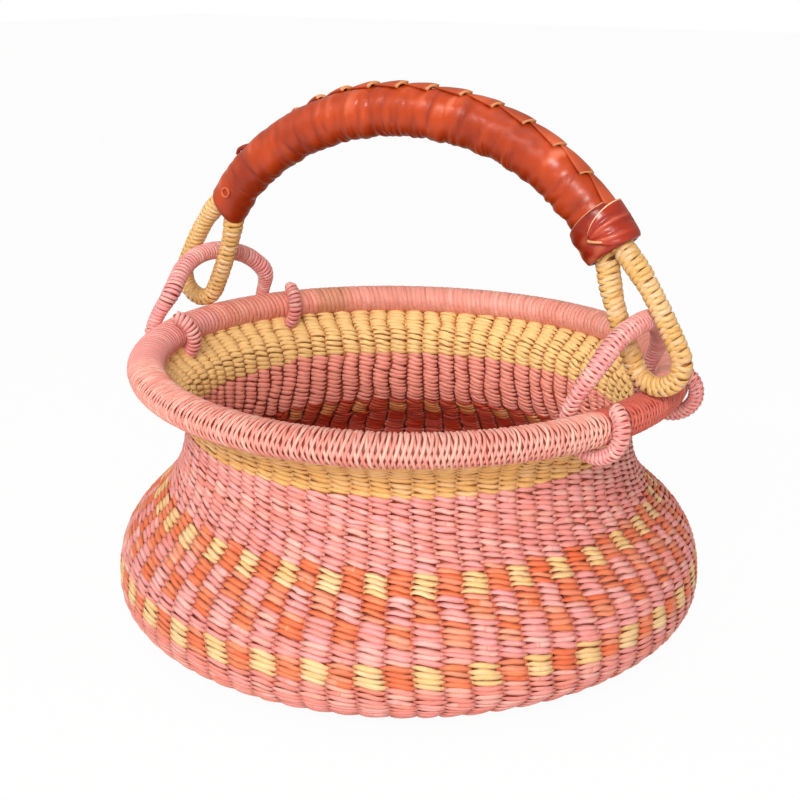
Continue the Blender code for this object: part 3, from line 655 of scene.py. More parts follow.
def twining_tree():
    """Two strands twined round the stakes of an outline that is turned round the upright axis."""
    tree, given, end = new_tree(
        "twined_rows", "GeometryNodeTree",
        {"Outline": "object", "Material": "material", "Start": 0.0, "Rows": 10.0, "Row Height": 0.0026,
         "Stakes": STAKES, "Steps per Stake": 6, "Sides": 5, "Wall": WALL, "Half Thick": 0.00065,
         "Half High": 0.0014, "Slant": 0.27, "Cross Outside": 0.2, "Taper": 0.55,
         "Start Angle": 0.0, "Unevenness": 0.6, "Seed": 1}, MESH)
    per_turn = given["Stakes"] * given["Steps per Stake"]
    count = (per_turn * given["Rows"]).math("ROUND") + 1.0
    strands = []
    for strand in (0.0, 1.0):
        line = put(tree, "GeometryNodeMeshLine", {"Count": count})
        line = store(tree, line, "step", put(tree, "GeometryNodeInputIndex"))
        strands.append(store(tree, line, "strand", strand))
    both = tree.nodes.new("GeometryNodeJoinGeometry")
    for strand in strands[::-1]:
        tree.links.new(strand.socket, both.inputs[0])
    both = Wire(tree, both.outputs[0])
    step = read(tree, "step")
    strand = read(tree, "strand")
    turn = step / per_turn
    angle = turn * FULL_TURN + given["Start Angle"]
    phase = (step / given["Steps per Stake"] + strand) * math.pi
    wave, crossing = cosine_and_sine(phase)
    swell = wave.math("ABSOLUTE")
    height = given["Row Height"]
    row = turn + given["Start"] / height

    # Rows sink and rise slowly, floats shake up and down, and stakes wander sideways.
    cosine, sine = cosine_and_sine(angle)
    drift = noise(tree, vector(tree, cosine * 1.7, sine * 1.7, row * 0.22), 1.3)
    shake = noise(tree, vector(tree, cosine * 16.0, sine * 16.0, row * 1.9), 1.0)
    wander = noise(tree, vector(tree, row * 0.12, cosine * 3.0, sine * 3.0), 1.5) - 0.5
    run = given["Start"] + (turn + FIRST_ROW - crossing * given["Slant"]
                            + ((drift - 0.5) * DRIFT + (shake - 0.5) * SHAKE) * given["Unevenness"]
                            ) * height

    # From the place on the outline into the wall, and then round the axis.
    sample, tangent, _ = along_curve(tree, shape_of(tree, given["Outline"]), run)
    x, _, z = parts_of(tree, sample)
    along_x, _, along_z = parts_of(tree, tangent)
    reach = given["Wall"] * 0.5 - given["Half Thick"]
    pushed = wave + (1.0 - swell * swell) * given["Cross Outside"]
    in_or_out = pushed.math("SIGN") * (pushed.math("ABSOLUTE") ** SQUARENESS)
    depth = given["Wall"] * 0.5 - reach * (in_or_out * BULGE - crossing * CROSSING_DEPTH)
    radius = x - along_z * depth
    level = z + along_x * depth
    cosine, sine = cosine_and_sine(angle + wander * given["Unevenness"] * WANDER)
    place = lifted(tree, vector(tree, radius * cosine, radius * sine, level))

    # What the shader and the sweep read: one number for each straw, and one for each float.
    straw_number = step / (given["Steps per Stake"] * STRAW_LENGTH) + strand * STRAND_STEP
    float_number = (step / given["Steps per Stake"] + 0.5).math("FLOOR") * 2.0 + strand
    tone = (chance(tree, straw_number.math("FLOOR"), given["Seed"]) * STRAW_TONE
            + chance(tree, float_number, given["Seed"] + 5.0) * FLOAT_TONE)
    both = store(tree, both, "tone", tone)
    # Where the strands cross between the stakes and dip behind them, they get painted shade.
    dipping = (crossing * wave.math("SIGN")).math("MAXIMUM", 0.0)
    both = store(tree, both, "dive", (1.0 - swell) * CROSSING_SHADE + dipping * dipping * DIP_SHADE)
    both = store(tree, both, "run", turn * RUN_PER_TURN)
    both = store(tree, both, "out", vector(tree, along_z * cosine, along_z * sine, -along_x),
                 "FLOAT_VECTOR")
    thick = chance(tree, float_number, given["Seed"] + 7.0, 0.82, 1.16)
    inner = clamped(tree, wave * INNER_SLOPE + INNER_OFFSET)
    taper = 1.0 - (1.0 - swell ** TAPER_POWER) * given["Taper"]
    both = store(tree, both, "size", thick * taper * (inner * INNER_SWELL + 1.0))
    both = store(tree, both, "inner", inner)
    both = put(tree, "GeometryNodeSetPosition", {"Geometry": both, "Position": place})
    curve = put(tree, "GeometryNodeMeshToCurve", {"Mesh": both})
    mesh = flat_sweep(tree, curve, given["Half Thick"], given["Half High"], given["Sides"],
                      read(tree, "size"), read(tree, "out", "FLOAT_VECTOR"))
    return finish_tree(tree, end, mesh, given["Material"])


twining = twining_tree()
print("twining tree:", len(twining.nodes), "nodes")

# %% [markdown]
# ## The wall, band by band
# The dyes change from row to row. One mesh with one striped material could show that, but each
# colour band is a piece of its own, as in the CAD model, so that it has its own name and finish. The
# rows start at one place behind the left ear, where the real basket's colours step up by a row too.

# %% Rows of the wall
CHECK_ANGLE = math.radians(-55.85 - 29 * 360.0 / STAKES)
wall_guide = guide("wall_outline", [(r, 0.0, z) for r, z in outline])

# Name, start and end as shares of the outline, height of a row, look, slot and CAD node.
BANDS = [
    ("weave_bottom_low", 0.0, 0.19, 0.0029, "salmon", "salmon_straw", "bottom_band"),
    ("weave_bottom_high", 0.19, 0.354, 0.0029, "salmon", "salmon_straw", "bottom_band"),
    ("weave_low_check", 0.354, 0.416, 0.0027, "check", "checked_straw", "lower_check_band"),
    ("weave_pink_stripe", 0.416, 0.460, 0.0029, "stripe", "pink_straw", "pink_stripe"),
    ("weave_low_step", 0.460, 0.524, 0.0029, "step_low", "orange_straw", "step_band"),
    ("weave_high_step", 0.524, 0.591, 0.0029, "step_high", "orange_straw", "step_band"),
    ("weave_high_check", 0.591, 0.6505, 0.0027, "check_high", "checked_straw", "upper_check_band"),
    ("weave_mixed_row", 0.6505, 0.664, 0.0027, "step_low", "checked_straw", "upper_check_band"),
    ("weave_shoulder", 0.664, 0.841, 0.0027, "pink", "pink_straw", "shoulder_band"),
    ("weave_neck", 0.841, 1.0, 0.0025, "natural", "natural_straw", "neck_band"),
]

# Undyed straw lies closer and flatter than dyed straw. Height is a share of the height of a row.
CLOSE = {"Taper": 0.34, "Cross Outside": 0.14, "Slant": 0.27}
LOOSE = {"Taper": 0.46, "Cross Outside": 0.30, "Slant": 0.35}
CLOSE_HEIGHT, LOOSE_HEIGHT = 0.62, 0.58

for number, (name, low, high, pitch, look, slot, node) in enumerate(BANDS):
    rows = round((high - low) * OUTLINE_LENGTH / pitch)
    row_height = (high - low) * OUTLINE_LENGTH / rows
    close = look == "natural"
    show(name, run_tree(name, twining, {
        "Outline": wall_guide, "Material": looks[look], "Start": low * OUTLINE_LENGTH,
        "Rows": float(rows), "Row Height": row_height, "Start Angle": CHECK_ANGLE, "Seed": number * 11,
        "Half High": row_height * (CLOSE_HEIGHT if close else LOOSE_HEIGHT),
        **(CLOSE if close else LOOSE)}), "basket", slot, node)

# %% [markdown]
# ## Stakes
# The upright straws that the strands go round. They are hidden but for thin dark lines, and they
# keep light from passing through the wall. A plain dark shell inside the wall could do the same, but
# it would show as a smooth surface from close by. One stake is swept along the outline and set out
# round the axis.


# %% The stakes tree
# The heights between which the stakes turn from dyed to undyed.
UNDYED = (NECK_HEIGHT - 0.006, NECK_HEIGHT - 0.003)


def stakes_tree():
    """Stakes that follow an outline, all the way round."""
    tree, given, end = new_tree(
        "stakes", "GeometryNodeTree",
        {"Outline": "object", "Material": "material", "Stakes": STAKES, "Rings": 34, "Inset": WALL / 2,
         "Half Thick": 0.0005, "Width Share": 0.54, "Sides": 5, "Start Angle": 0.0}, MESH)
    line = put(tree, "GeometryNodeResampleCurve",
               {"Curve": shape_of(tree, given["Outline"]), "Count": given["Rings"]}, mode="COUNT")
    along_x, _, along_z = parts_of(tree, put(tree, "GeometryNodeInputTangent"))
    out = vector(tree, along_z, 0.0, -along_x)
    line = put(tree, "GeometryNodeSetPosition",
               {"Geometry": line, "Offset": scaled(tree, out, -given["Inset"])})
    radius = parts_of(tree, put(tree, "GeometryNodeInputPosition"))[0]
    half_wide = given["Width Share"] * FULL_TURN / given["Stakes"] * NECK_RADIUS
    stake = flat_sweep(tree, line, given["Half Thick"], half_wide, given["Sides"],
                       radius / NECK_RADIUS, out)
    spots = put(tree, "GeometryNodeMeshLine",
                {"Count": given["Stakes"], "Offset": vector(tree, 0.0, 0.0, 0.0)})
    turn = put(tree, "GeometryNodeInputIndex") / given["Stakes"] * FULL_TURN + given["Start Angle"]
    made = put(tree, "GeometryNodeInstanceOnPoints",
               {"Points": spots, "Instance": stake, "Rotation": vector(tree, 0.0, 0.0, turn)})
    made = put(tree, "GeometryNodeRealizeInstances", {"Geometry": made})
    height = parts_of(tree, put(tree, "GeometryNodeInputPosition"))[2]
    made = store(tree, made, "inner", map_range(tree, height, *UNDYED))
    made = put(tree, "GeometryNodeSetPosition",
               {"Geometry": made, "Position": lifted(tree, put(tree, "GeometryNodeInputPosition"))})
    return finish_tree(tree, end, made, given["Material"])


stakes = stakes_tree()
looks["stake"] = straw("stake_look", [(160, 70, 46)], [(120, 44, 26)], GRASS_PAINTED_SHADE, 0.8,
                       [(188, 122, 62)], 0.0)
wall_stakes = run_tree("wall_stakes", stakes, {
    "Outline": wall_guide, "Material": looks["stake"], "Start Angle": CHECK_ANGLE})
show("wall_stakes", wall_stakes, "basket", "core_grass")

# %% [markdown]
# ## Base
# The base is twined the same way, from the middle outwards. With all the stakes of the wall the
# middle would be a solid lump, so there are three rings, as on the real base, and each has about
# twice as many stakes as the ring inside it.

# %% Base
BASE_START = 0.0040
BASE_ROWS = 41
BASE_STRAW_HEIGHT = 0.56
SPOKE_OVERLAP = 2
# First and last row, stakes, and steps from stake to stake.
BASE_RINGS = [(0, 12, 18, 6), (12, 27, 38, 5), (27, BASE_ROWS, STAKES, 4)]
base_height = (BASE_RADIUS - BASE_START) / BASE_ROWS
base_guide = guide("base_outline", [(r, 0.0, 0.0) for r in np.linspace(BASE_START, BASE_RADIUS, 12)])
ring_meshes = []
for number, (first, last, count, steps) in enumerate(BASE_RINGS):
    ring_meshes.append(run_tree(f"base_ring_{number}", twining, {
        "Outline": base_guide, "Material": looks["base"], "Start": first * base_height,
        "Rows": float(last - first), "Row Height": base_height, "Stakes": count,
        "Half High": base_height * BASE_STRAW_HEIGHT, "Steps per Stake": steps,
        "Start Angle": CHECK_ANGLE, "Slant": 0.3, "Seed": 200 + number, "Sides": 4}))
    inner = max(0.0, BASE_START + (first - SPOKE_OVERLAP) * base_height)
    outer = min(BASE_RADIUS, BASE_START + last * base_height)
    spokes = guide(f"base_spokes_{number}", [(r, 0.0, 0.0) for r in np.linspace(inner, outer, 3)])
    ring_meshes.append(run_tree(f"base_spokes_{number}", stakes, {
        "Outline": spokes, "Material": looks["stake"], "Stakes": count, "Rings": 3,
        "Start Angle": CHECK_ANGLE}))
show("weave_base", join_meshes("weave_base", ring_meshes), "basket", "salmon_straw", "woven_base")

# %% [markdown]
# ## Winding
# The rim, the ears and the rope of the handle are bundles of grass with straw wound round them. A
# Screw modifier makes a neat spring, but only along a straight line. The tree walks along any guide
# instead, and turns as it goes. Each turn leans a little the other way than the one before, so the
# dark bundle shows through in small leaf-shaped gaps.


# %% The winding tree
# What a straw and a turn each add to the tone, how sharp and how strong a patch of another dye is,
# the shade for each metre that a straw lies deeper, and the metres of fibre pattern in a turn.
WOUND_STRAW_TONE, TURN_TONE = 0.62, 0.38
PATCH_SHARPNESS, PATCH_STRENGTH = 90.0, 0.8
SINK_SHADE = 500.0
RUN_PER_WINDING = 0.05


def winding_tree():
    """Straw wound round a guide."""
    tree, given, end = new_tree(
        "wound_straw", "GeometryNodeTree",
        {"Path": "object", "Material": "material", "Half Wide": 0.01, "Half Thick": 0.0085,
         "Pitch": 0.0029, "Straw Half Thick": 0.0009, "Straw Half Wide": 0.0013, "Lean": 0.0,
         "Zigzag": 0.0008, "Jitter": 0.0006, "Start": 0.0, "Stop": 1.0, "Sink": 0.0, "Sink Phase": 0.0,
         "Turns per Straw": STRAW_LENGTH, "Inner From": 2.0, "Inner To": 3.0, "Steps per Turn": 20,
         "Sides": 6, "Seed": 1}, MESH)
    path = shape_of(tree, given["Path"])
    length = put(tree, "GeometryNodeCurveLength", {"Curve": path})
    steps = given["Steps per Turn"]
    count = (length * (given["Stop"] - given["Start"]) / given["Pitch"] * steps).math("ROUND") + 1.0
    line = put(tree, "GeometryNodeMeshLine", {"Count": count})
    turn = put(tree, "GeometryNodeInputIndex") / steps
    theta = turn * FULL_TURN
    number = (turn + 0.5).math("FLOOR")
    cosine, sine = cosine_and_sine(theta)

    # The lean of a turn, from side to side, and small faults along the way.
    side = 1.0 - number.math("FLOORED_MODULO", 2.0) * 2.0
    uneven = chance(tree, number, given["Seed"] + 3.0, 0.5, 1.35)
    wobble = noise(tree, vector(tree, turn * 0.83, given["Seed"] * 3.7, 0.0), 1.0) - 0.5
    shift = sine * (given["Lean"] + given["Zigzag"] * side * uneven) + wobble * given["Jitter"] * 2.0
    run = length * given["Start"] + turn * given["Pitch"] + shift
    share = run / length

    # Round the guide, a little deeper where another straw passes over.
    sample, tangent, normal = along_curve(tree, path, run)
    girth = put(tree, "GeometryNodeSampleCurve",
                {"Curves": path, "Length": run, "Value": put(tree, "GeometryNodeInputRadius")},
                out="Value", mode="LENGTH", data_type="FLOAT")
    other = vector_sum(tree, "CROSS_PRODUCT", tangent, normal)
    sink = (theta * 2.0 + given["Sink Phase"]).math("SINE") * 0.5 + 0.5
    skin = given["Straw Half Thick"] + given["Sink"] * sink
    wide = given["Half Wide"] * girth - skin
    thick = given["Half Thick"] * girth - skin
    place = vector_sum(tree, "ADD", scaled(tree, normal, wide * cosine), scaled(tree, other, thick * sine))
    place = vector_sum(tree, "ADD", sample, place)
    out = vector_sum(tree, "ADD", scaled(tree, normal, cosine / wide), scaled(tree, other, sine / thick))

    # What the shader and the sweep read.
    straw_number = (turn / given["Turns per Straw"] + wobble).math("FLOOR")
    tone = (chance(tree, straw_number, given["Seed"] + 17.0) * WOUND_STRAW_TONE
            + chance(tree, number, given["Seed"]) * TURN_TONE)
    line = store(tree, line, "tone", tone)
    line = store(tree, line, "run", turn * RUN_PER_WINDING)
    begun = clamped(tree, (share - given["Inner From"]) * PATCH_SHARPNESS)
    not_over = clamped(tree, (given["Inner To"] - share) * PATCH_SHARPNESS)
    line = store(tree, line, "inner", begun * not_over * PATCH_STRENGTH)
    line = store(tree, line, "dive", sink * given["Sink"] * SINK_SHADE)
    line = store(tree, line, "out", out, "FLOAT_VECTOR")
    line = store(tree, line, "size", chance(tree, number, given["Seed"] + 9.0, 0.86, 1.1))
    line = put(tree, "GeometryNodeSetPosition", {"Geometry": line, "Position": place})
    curve = put(tree, "GeometryNodeMeshToCurve", {"Mesh": line})
    mesh = flat_sweep(tree, curve, given["Straw Half Thick"], given["Straw Half Wide"], given["Sides"],
                      read(tree, "size"), read(tree, "out", "FLOAT_VECTOR"))
    return finish_tree(tree, end, mesh, given["Material"])


# %% The bundle tree
def core_tree():
    """The bundle of grass inside a winding."""
    tree, given, end = new_tree(
        "grass_core", "GeometryNodeTree",
        {"Path": "object", "Material": "material", "Half Wide": 0.01, "Half Thick": 0.0085,
         "Rings": 60, "Sides": 16}, MESH)
    path = put(tree, "GeometryNodeResampleCurve",
               {"Curve": shape_of(tree, given["Path"]), "Count": given["Rings"]}, mode="COUNT")
    path = store(tree, path, "run", put(tree, "GeometryNodeSplineParameter", out="Length"))
    ring = oval(tree, given["Half Wide"], given["Half Thick"], given["Sides"])
    mesh = sweep(tree, path, ring, put(tree, "GeometryNodeInputRadius"))
    return finish_tree(tree, end, mesh, given["Material"])


def follow(name, tree, path, look, half_wide, half_thick, sizes):
    """The winding or the bundle along one guide; sizes are the tree's other inputs."""
    return run_tree(name, tree, {"Path": path, "Material": looks[look], "Half Wide": half_wide,
                                 "Half Thick": half_thick, **sizes})


winding = winding_tree()
core = core_tree()
print("winding tree:", len(winding.nodes), "nodes")

# %% [markdown]
# ## Rim
# The rim is an oval bundle of grass into which the stakes end, wound all round with straw. A bent
# pipe with a striped image could stand for it, but the turns cross and the bundle shows between
# them, so both are made along a ring. In front the straws lean and lie loosely, darker where the
# right ear stands. Near the left ear and along the back they are wide and lie close and flat.

# %% Rim
looks["rim"] = straw("rim_straw_look", [(242, 168, 152)], [(233, 137, 121)], (176, 60, 44), 0.9,
                     [(201, 70, 46)])
looks["rim_patch"] = straw("rim_patch_look", [(243, 157, 148)], [(238, 147, 139)], (190, 70, 55), 0.4,
                           bleach=0.1)
looks["rim_back"] = straw("rim_back_look", [(250, 166, 149)], [(234, 138, 115)], (170, 60, 45), 0.9,
                          [(214, 142, 108)], 0.1)
looks["core"] = straw("rim_core_look", [(140, 44, 26)], [(105, 28, 16)], GRASS_PAINTED_SHADE, 0.9, bleach=0.0)
RIM_SIZES = (RIM_HALF_WIDE, RIM_HALF_THICK)
RIM_CORE_GAP = 0.0014


def ring_arc(start, stop, count):
    """Points on the middle line of the rim, between two angles in degrees."""
    angles = np.radians(np.linspace(start, stop, count))
    return lift_points(np.stack([RIM_RADIUS * np.cos(angles), RIM_RADIUS * np.sin(angles),
                                 np.full(count, RIM_HEIGHT)], axis=1))


rim_ring = guide("rim_ring", ring_arc(-180.0, 178.0, 180), cyclic=True, upright=True)
show("rim_bundle", follow("rim_bundle", core, rim_ring, "core", RIM_HALF_WIDE - RIM_CORE_GAP,
                          RIM_HALF_THICK - RIM_CORE_GAP, {"Rings": 120, "Sides": 20}),
     "basket", "core_grass", "rim_core")
rim_long = guide("rim_long", ring_arc(-134.0, 26.0, 140), upright=True)
rim_back = guide("rim_back", ring_arc(24.0, 186.0, 140), upright=True)
rim_patch = guide("rim_patch", ring_arc(-176.0, -130.5, 50), upright=True)
rim_layers = []
for number, lean in enumerate((-0.0030, 0.0016)):
    rim_layers.append(follow(f"rim_layer_{number}", winding, rim_long, "rim", *RIM_SIZES, {
        "Pitch": 0.0026, "Lean": lean, "Zigzag": 0.0003, "Jitter": 0.00055,
        "Start": 0.004 + number * 0.0034, "Stop": 0.994, "Steps per Turn": 24, "Sides": 5,
        "Straw Half Wide": 0.00082, "Straw Half Thick": 0.0006, "Sink": 0.0007,
        "Sink Phase": math.pi * number, "Inner From": 0.735, "Inner To": 0.93, "Seed": 5 + number}))
show("rim_winding", join_meshes("rim_winding", rim_layers), "basket", "rim_straw", "rim_wrap")
show("rim_back_winding", follow("rim_back_winding", winding, rim_back, "rim_back", *RIM_SIZES, {
    "Pitch": 0.0031, "Lean": -0.0009, "Zigzag": 0.0003, "Jitter": 0.0004, "Start": 0.002, "Stop": 0.998,
    "Steps per Turn": 22, "Straw Half Wide": 0.0021, "Straw Half Thick": 0.0006,
    "Turns per Straw": 13.0, "Inner From": 0.725, "Inner To": 0.79, "Seed": 25}), "basket", "rim_straw")
show("rim_flat_winding", follow("rim_flat_winding", winding, rim_patch, "rim_patch", *RIM_SIZES, {
    "Pitch": 0.0034, "Lean": 0.0006, "Zigzag": 0.0001, "Jitter": 0.0002, "Start": 0.01, "Stop": 0.99,
    "Steps per Turn": 22, "Straw Half Wide": 0.0021, "Straw Half Thick": 0.0005, "Seed": 15}),
     "basket", "rim_straw")

# %% [markdown]
# ## Ears
# Each ear is a rope that stands up as an arch and turns once round the rim at both feet. Its path
# could be drawn by hand as a curve, but then it might touch the loop that hangs in it. It is the
# path of the CAD model instead, made smoother, and wound like the rim.

# %% Ear paths
PIVOT_RISE = 0.0180
LINK_SLOPE = math.radians(62.0)
EAR_ROPE = 0.0053
EAR_TURN_ROPE = 0.0042
FULLNESS = 0.0007
BEARING_HALF = 0.034
EAR_TURN = math.radians(285.0)
EAR_CLEARANCE = 0.0005
RIGHT_EAR = {"side": 1, "leg": math.radians(18.5), "top": 0.0435, "start": math.radians(50.0),
             "first": -1, "drift": -0.0100, "roundness": 2.0}
LEFT_EAR = {"side": -1, "leg": math.radians(17.5), "top": 0.0395, "start": math.radians(60.0),
            "first": 1, "drift": 0.0100, "roundness": 2.05}
RIGHT_LINK = {"reach": 0.1520, "rise": 0.0145, "half_gap": 0.0124}
LEFT_LINK = {"reach": 0.1590, "rise": 0.0167, "half_gap": 0.0130}
# The points of a path where the arch goes over into the turn, the share of the arch that bends
# towards its foot, how softly a leg thickens, and the roundness of a rope's cut end.
BEND = slice(6, 14)
BEND_MIDDLE = 5.85
FOOT_FROM = 0.66
LEG_BLEND = 0.008
END_ROUNDNESS = 0.10


def refine(path, times):
    """A smoother path through the same points."""
    padded = np.concatenate([[2 * path[0] - path[1]], path, [2 * path[-1] - path[-2]]])
    rows = []
    for i in range(len(path) - 1):
        a, b, c, d = padded[i:i + 4]
        for t in np.arange(times) / times:
            rows.append(0.5 * (2 * b + (c - a) * t + (2 * a - 5 * b + 4 * c - d) * t ** 2
                               + (3 * b - a - 3 * c + d) * t ** 3))
    rows.append(path[-1])
    return np.array(rows)


def turn_points(ear):
    """One foot of an ear: the turn round the rim."""
    wide = RIM_HALF_WIDE + EAR_CLEARANCE + EAR_TURN_ROPE
    thick = RIM_HALF_THICK + EAR_CLEARANCE + EAR_TURN_ROPE
    points = []
    for share in np.linspace(0.0, 1.0, 19):
        psi = math.pi / 2 - ear["first"] * (ear["start"] + EAR_TURN * share)
        phi = ear["leg"] + ear["drift"] * share / RIM_RADIUS
        radius = RIM_RADIUS + wide * math.cos(psi)
        points.append((radius * math.cos(phi), radius * math.sin(phi), RIM_HEIGHT + thick * math.sin(psi)))
    return np.array(points)


def arch_points(ear, link, foot):
    """Half of an ear's arch, from its top down to the foot."""
    t = np.linspace(0.0, 1.0, 13)
    power = 2.0 / ear["roundness"]
    y = foot[1] * np.sin(t * math.pi / 2) ** power
    z = foot[2] + (RIM_HEIGHT + ear["top"] - foot[2]) * np.cos(t * math.pi / 2) ** power
    guess = np.stack([np.full(len(y), ear["side"] * link["reach"]), y, z], axis=1)
    away = np.hypot(y, lift_points(guess)[:, 2] - RIM_HEIGHT - PIVOT_RISE)
    blend = smooth_step((t - FOOT_FROM) / (1.0 - FOOT_FROM))
    line = link["reach"] - (PIVOT_RISE + away - link["rise"]) / math.tan(LINK_SLOPE)
    return np.stack([line * (1 - blend) + foot[0] * blend, y, z], axis=1)


def ear_path(ear, link):
    """The whole rope of an ear, and how thick it is along the way (1 is a full rope)."""
    turn = turn_points(ear)
    half = np.concatenate([arch_points(ear, link, turn[0])[:-1], turn])
    before, after = (slice(BEND.start + step, BEND.stop + step) for step in (-1, 1))
    for _ in range(3):
        eased = half.copy()
        eased[BEND] = (half[before] + 2 * half[BEND] + half[after]) / 4
        half = eased
    share = smooth_step((np.arange(len(half)) - BEND_MIDDLE) / BEND_MIDDLE)
    radii = EAR_ROPE + (EAR_TURN_ROPE - EAR_ROPE) * share
    path = np.concatenate([half[:0:-1] * [1, -1, 1], half]) * [ear["side"], 1, 1]
    radii = np.concatenate([radii[:0:-1], radii])
    smooth = refine(path, 4)
    spread = np.interp(np.linspace(0, len(radii) - 1, len(smooth)), np.arange(len(radii)), radii)
    run = np.concatenate([[0.0], np.cumsum(np.linalg.norm(np.diff(smooth, axis=0), axis=1))])
    from_end = np.clip(np.minimum(run, run[-1] - run) / EAR_TURN_ROPE, 0.0, 1.0)
    rounded = np.sqrt(np.maximum(END_ROUNDNESS, 1.0 - (1.0 - from_end) ** 2))
    leg = smooth_step((spread - EAR_TURN_ROPE) / (EAR_ROPE - EAR_TURN_ROPE))
    leg = leg * smooth_step((np.abs(smooth[:, 1]) - BEARING_HALF) / LEG_BLEND)
    return lift_points(smooth), spread / EAR_ROPE * rounded * (1.0 + FULLNESS / EAR_ROPE * leg)


looks["ear"] = straw("ear_straw_look", [(243, 165, 162)], [(228, 128, 118)], (160, 50, 40), 0.8)
looks["ear_core"] = straw("ear_core_look", [(165, 62, 50)], [(130, 40, 30)], GRASS_PAINTED_SHADE, 0.9)
EAR_PITCH = 0.0023
EAR_CORE = EAR_ROPE - 0.0011
# Name, shape, loop, CAD node, width of a straw as a share of the pitch, and the lean of each layer.
EARS = [("right_ear", RIGHT_EAR, RIGHT_LINK, "ear_right", 0.38, [-0.0011, 0.0009]),
        ("left_ear", LEFT_EAR, LEFT_LINK, "ear_left", 0.56, [0.0002])]
for number, (name, ear, link, node, width_share, leans) in enumerate(EARS):
    points, girths = ear_path(ear, link)
    route = guide(name + "_route", points, girths)
    meshes = [follow(name + "_core", core, route, "ear_core", EAR_CORE, EAR_CORE,
                     {"Rings": 100, "Sides": 12})]
    for layer, lean in enumerate(leans):
        meshes.append(follow(f"{name}_winding_{layer}", winding, route, "ear", EAR_ROPE, EAR_ROPE, {
            "Pitch": EAR_PITCH, "Lean": lean, "Zigzag": 0.0001, "Jitter": 0.0003, "Start": 0.003,
            "Stop": 0.997, "Steps per Turn": 18, "Sides": 6, "Straw Half Wide": EAR_PITCH * width_share,
            "Straw Half Thick": 0.00055, "Sink": 0.0004 * (len(leans) - 1), "Sink Phase": math.pi * layer,
            "Seed": 30 + number + 7 * layer}))
    show(name, join_meshes(name, meshes), "basket", "pink_straw", node)

# %% [markdown]
# ## Handle rope
# One closed rope runs twice through the leather and hangs out as a loop at both ends. Two loops
# that end just inside the leather would look the same, but the bundle is one rope on the real
# basket, so its core is one closed piece. Only what shows is wound: inside the leather it is bare.

# %% Handle line and loops
STRAND_OFFSET = 0.00545
ROPE = 0.0053
APEX_RISE = 0.1340
END_SLOPE = math.radians(54.5)
RIGHT_END = {"reach": 0.1200, "rise": 0.0755, "top_pull": 0.057, "end_pull": 0.047}
LEFT_END = {"reach": 0.1265, "rise": 0.0745, "top_pull": 0.049, "end_pull": 0.045}
SLEEVE_HALF_HIGH = 0.0130
SLEEVE_HALF_WIDE = 0.0106
ROPE_CORE = ROPE - 0.0012
# How far a loop's legs run straight on at the loop and at the leather, how many points of the rope
# are wound inside the leather, and where the rope has its full thickness, from the bearing.
LOOP_PULL, LEATHER_PULL = 0.042, 0.006
HIDDEN_POINTS = 14
FULL_FROM, FULL_WITHIN = 0.047, 0.010


def half_handle(end, side, count):
    """The handle's middle line, from its crown to the end of the leather on one side."""
    crown = RIM_HEIGHT + APEX_RISE
    tip = np.array([end["reach"], 0.0, RIM_HEIGHT + end["rise"]])
    heading = np.array([math.cos(END_SLOPE), 0.0, -math.sin(END_SLOPE)])
    return bezier([(0.0, 0.0, crown), (end["top_pull"], 0.0, crown), tip - heading * end["end_pull"], tip],
                  count) * [side, 1, 1]


def line_frames(line):
    """The way along and the way outwards at each point of a line in the handle's plane."""
    along = np.gradient(line, axis=0)
    along /= np.linalg.norm(along, axis=1)[:, None]
    return along, np.stack([-along[:, 2], np.zeros(len(line)), along[:, 0]], axis=1)


sleeve_line = np.concatenate([half_handle(LEFT_END, -1, 80)[::-1], half_handle(RIGHT_END, 1, 80)[1:]])
sleeve_along, sleeve_out = line_frames(sleeve_line)
sleeve_run = np.concatenate([[0.0], np.cumsum(np.linalg.norm(np.diff(sleeve_line, axis=0), axis=1))])
SLEEVE_LENGTH = sleeve_run[-1]


def link_points(side, link, outer_end, inner_end, heading):
    """One loop: out of the leather, round the ear and back into the leather."""
    down = np.array([side * math.cos(LINK_SLOPE), 0.0, -math.sin(LINK_SLOPE)])
    out = np.array([side * math.sin(LINK_SLOPE), 0.0, math.cos(LINK_SLOPE)])
    gap = link["half_gap"]
    centre = np.array([side * link["reach"], 0.0, RIM_HEIGHT + link["rise"]]) - down * gap
    bight = np.array([centre + out * gap * math.cos(a) + down * gap * math.sin(a)
                      for a in np.linspace(0.0, math.pi, 33)])
    first = bezier([outer_end, outer_end + heading * LEATHER_PULL, bight[0] - down * LOOP_PULL,
                    bight[0]], 32)
    last = bezier([bight[-1], bight[-1] - down * LOOP_PULL, inner_end + heading * LEATHER_PULL,
                   inner_end], 32)
    return np.concatenate([first[:-1], bight, last[1:]])


outer_strand = sleeve_line + sleeve_out * STRAND_OFFSET
inner_strand = sleeve_line - sleeve_out * STRAND_OFFSET
right_loop = link_points(1, RIGHT_LINK, outer_strand[-1], inner_strand[-1], sleeve_along[-1])
left_loop = link_points(-1, LEFT_LINK, outer_strand[0], inner_strand[0], -sleeve_along[0])
looks["rope"] = straw("rope_straw_look", [(234, 186, 113)], [(218, 157, 82)], (150, 86, 30), 0.7)
looks["rope_core"] = straw("rope_core_look", [(150, 92, 40)], [(105, 60, 25)], (60, 30, 8), 0.9)
whole = np.concatenate([outer_strand, right_loop[1:], inner_strand[::-1][1:], left_loop[::-1][1:-1]])
rope_guide = guide("rope_route", whole[::2], cyclic=True)
meshes = [follow("rope_core", core, rope_guide, "rope_core", ROPE_CORE, ROPE_CORE,
                 {"Rings": 190, "Sides": 12})]
right_end = slice(-HIDDEN_POINTS, -1)
left_end = slice(HIDDEN_POINTS - 1, 0, -1)
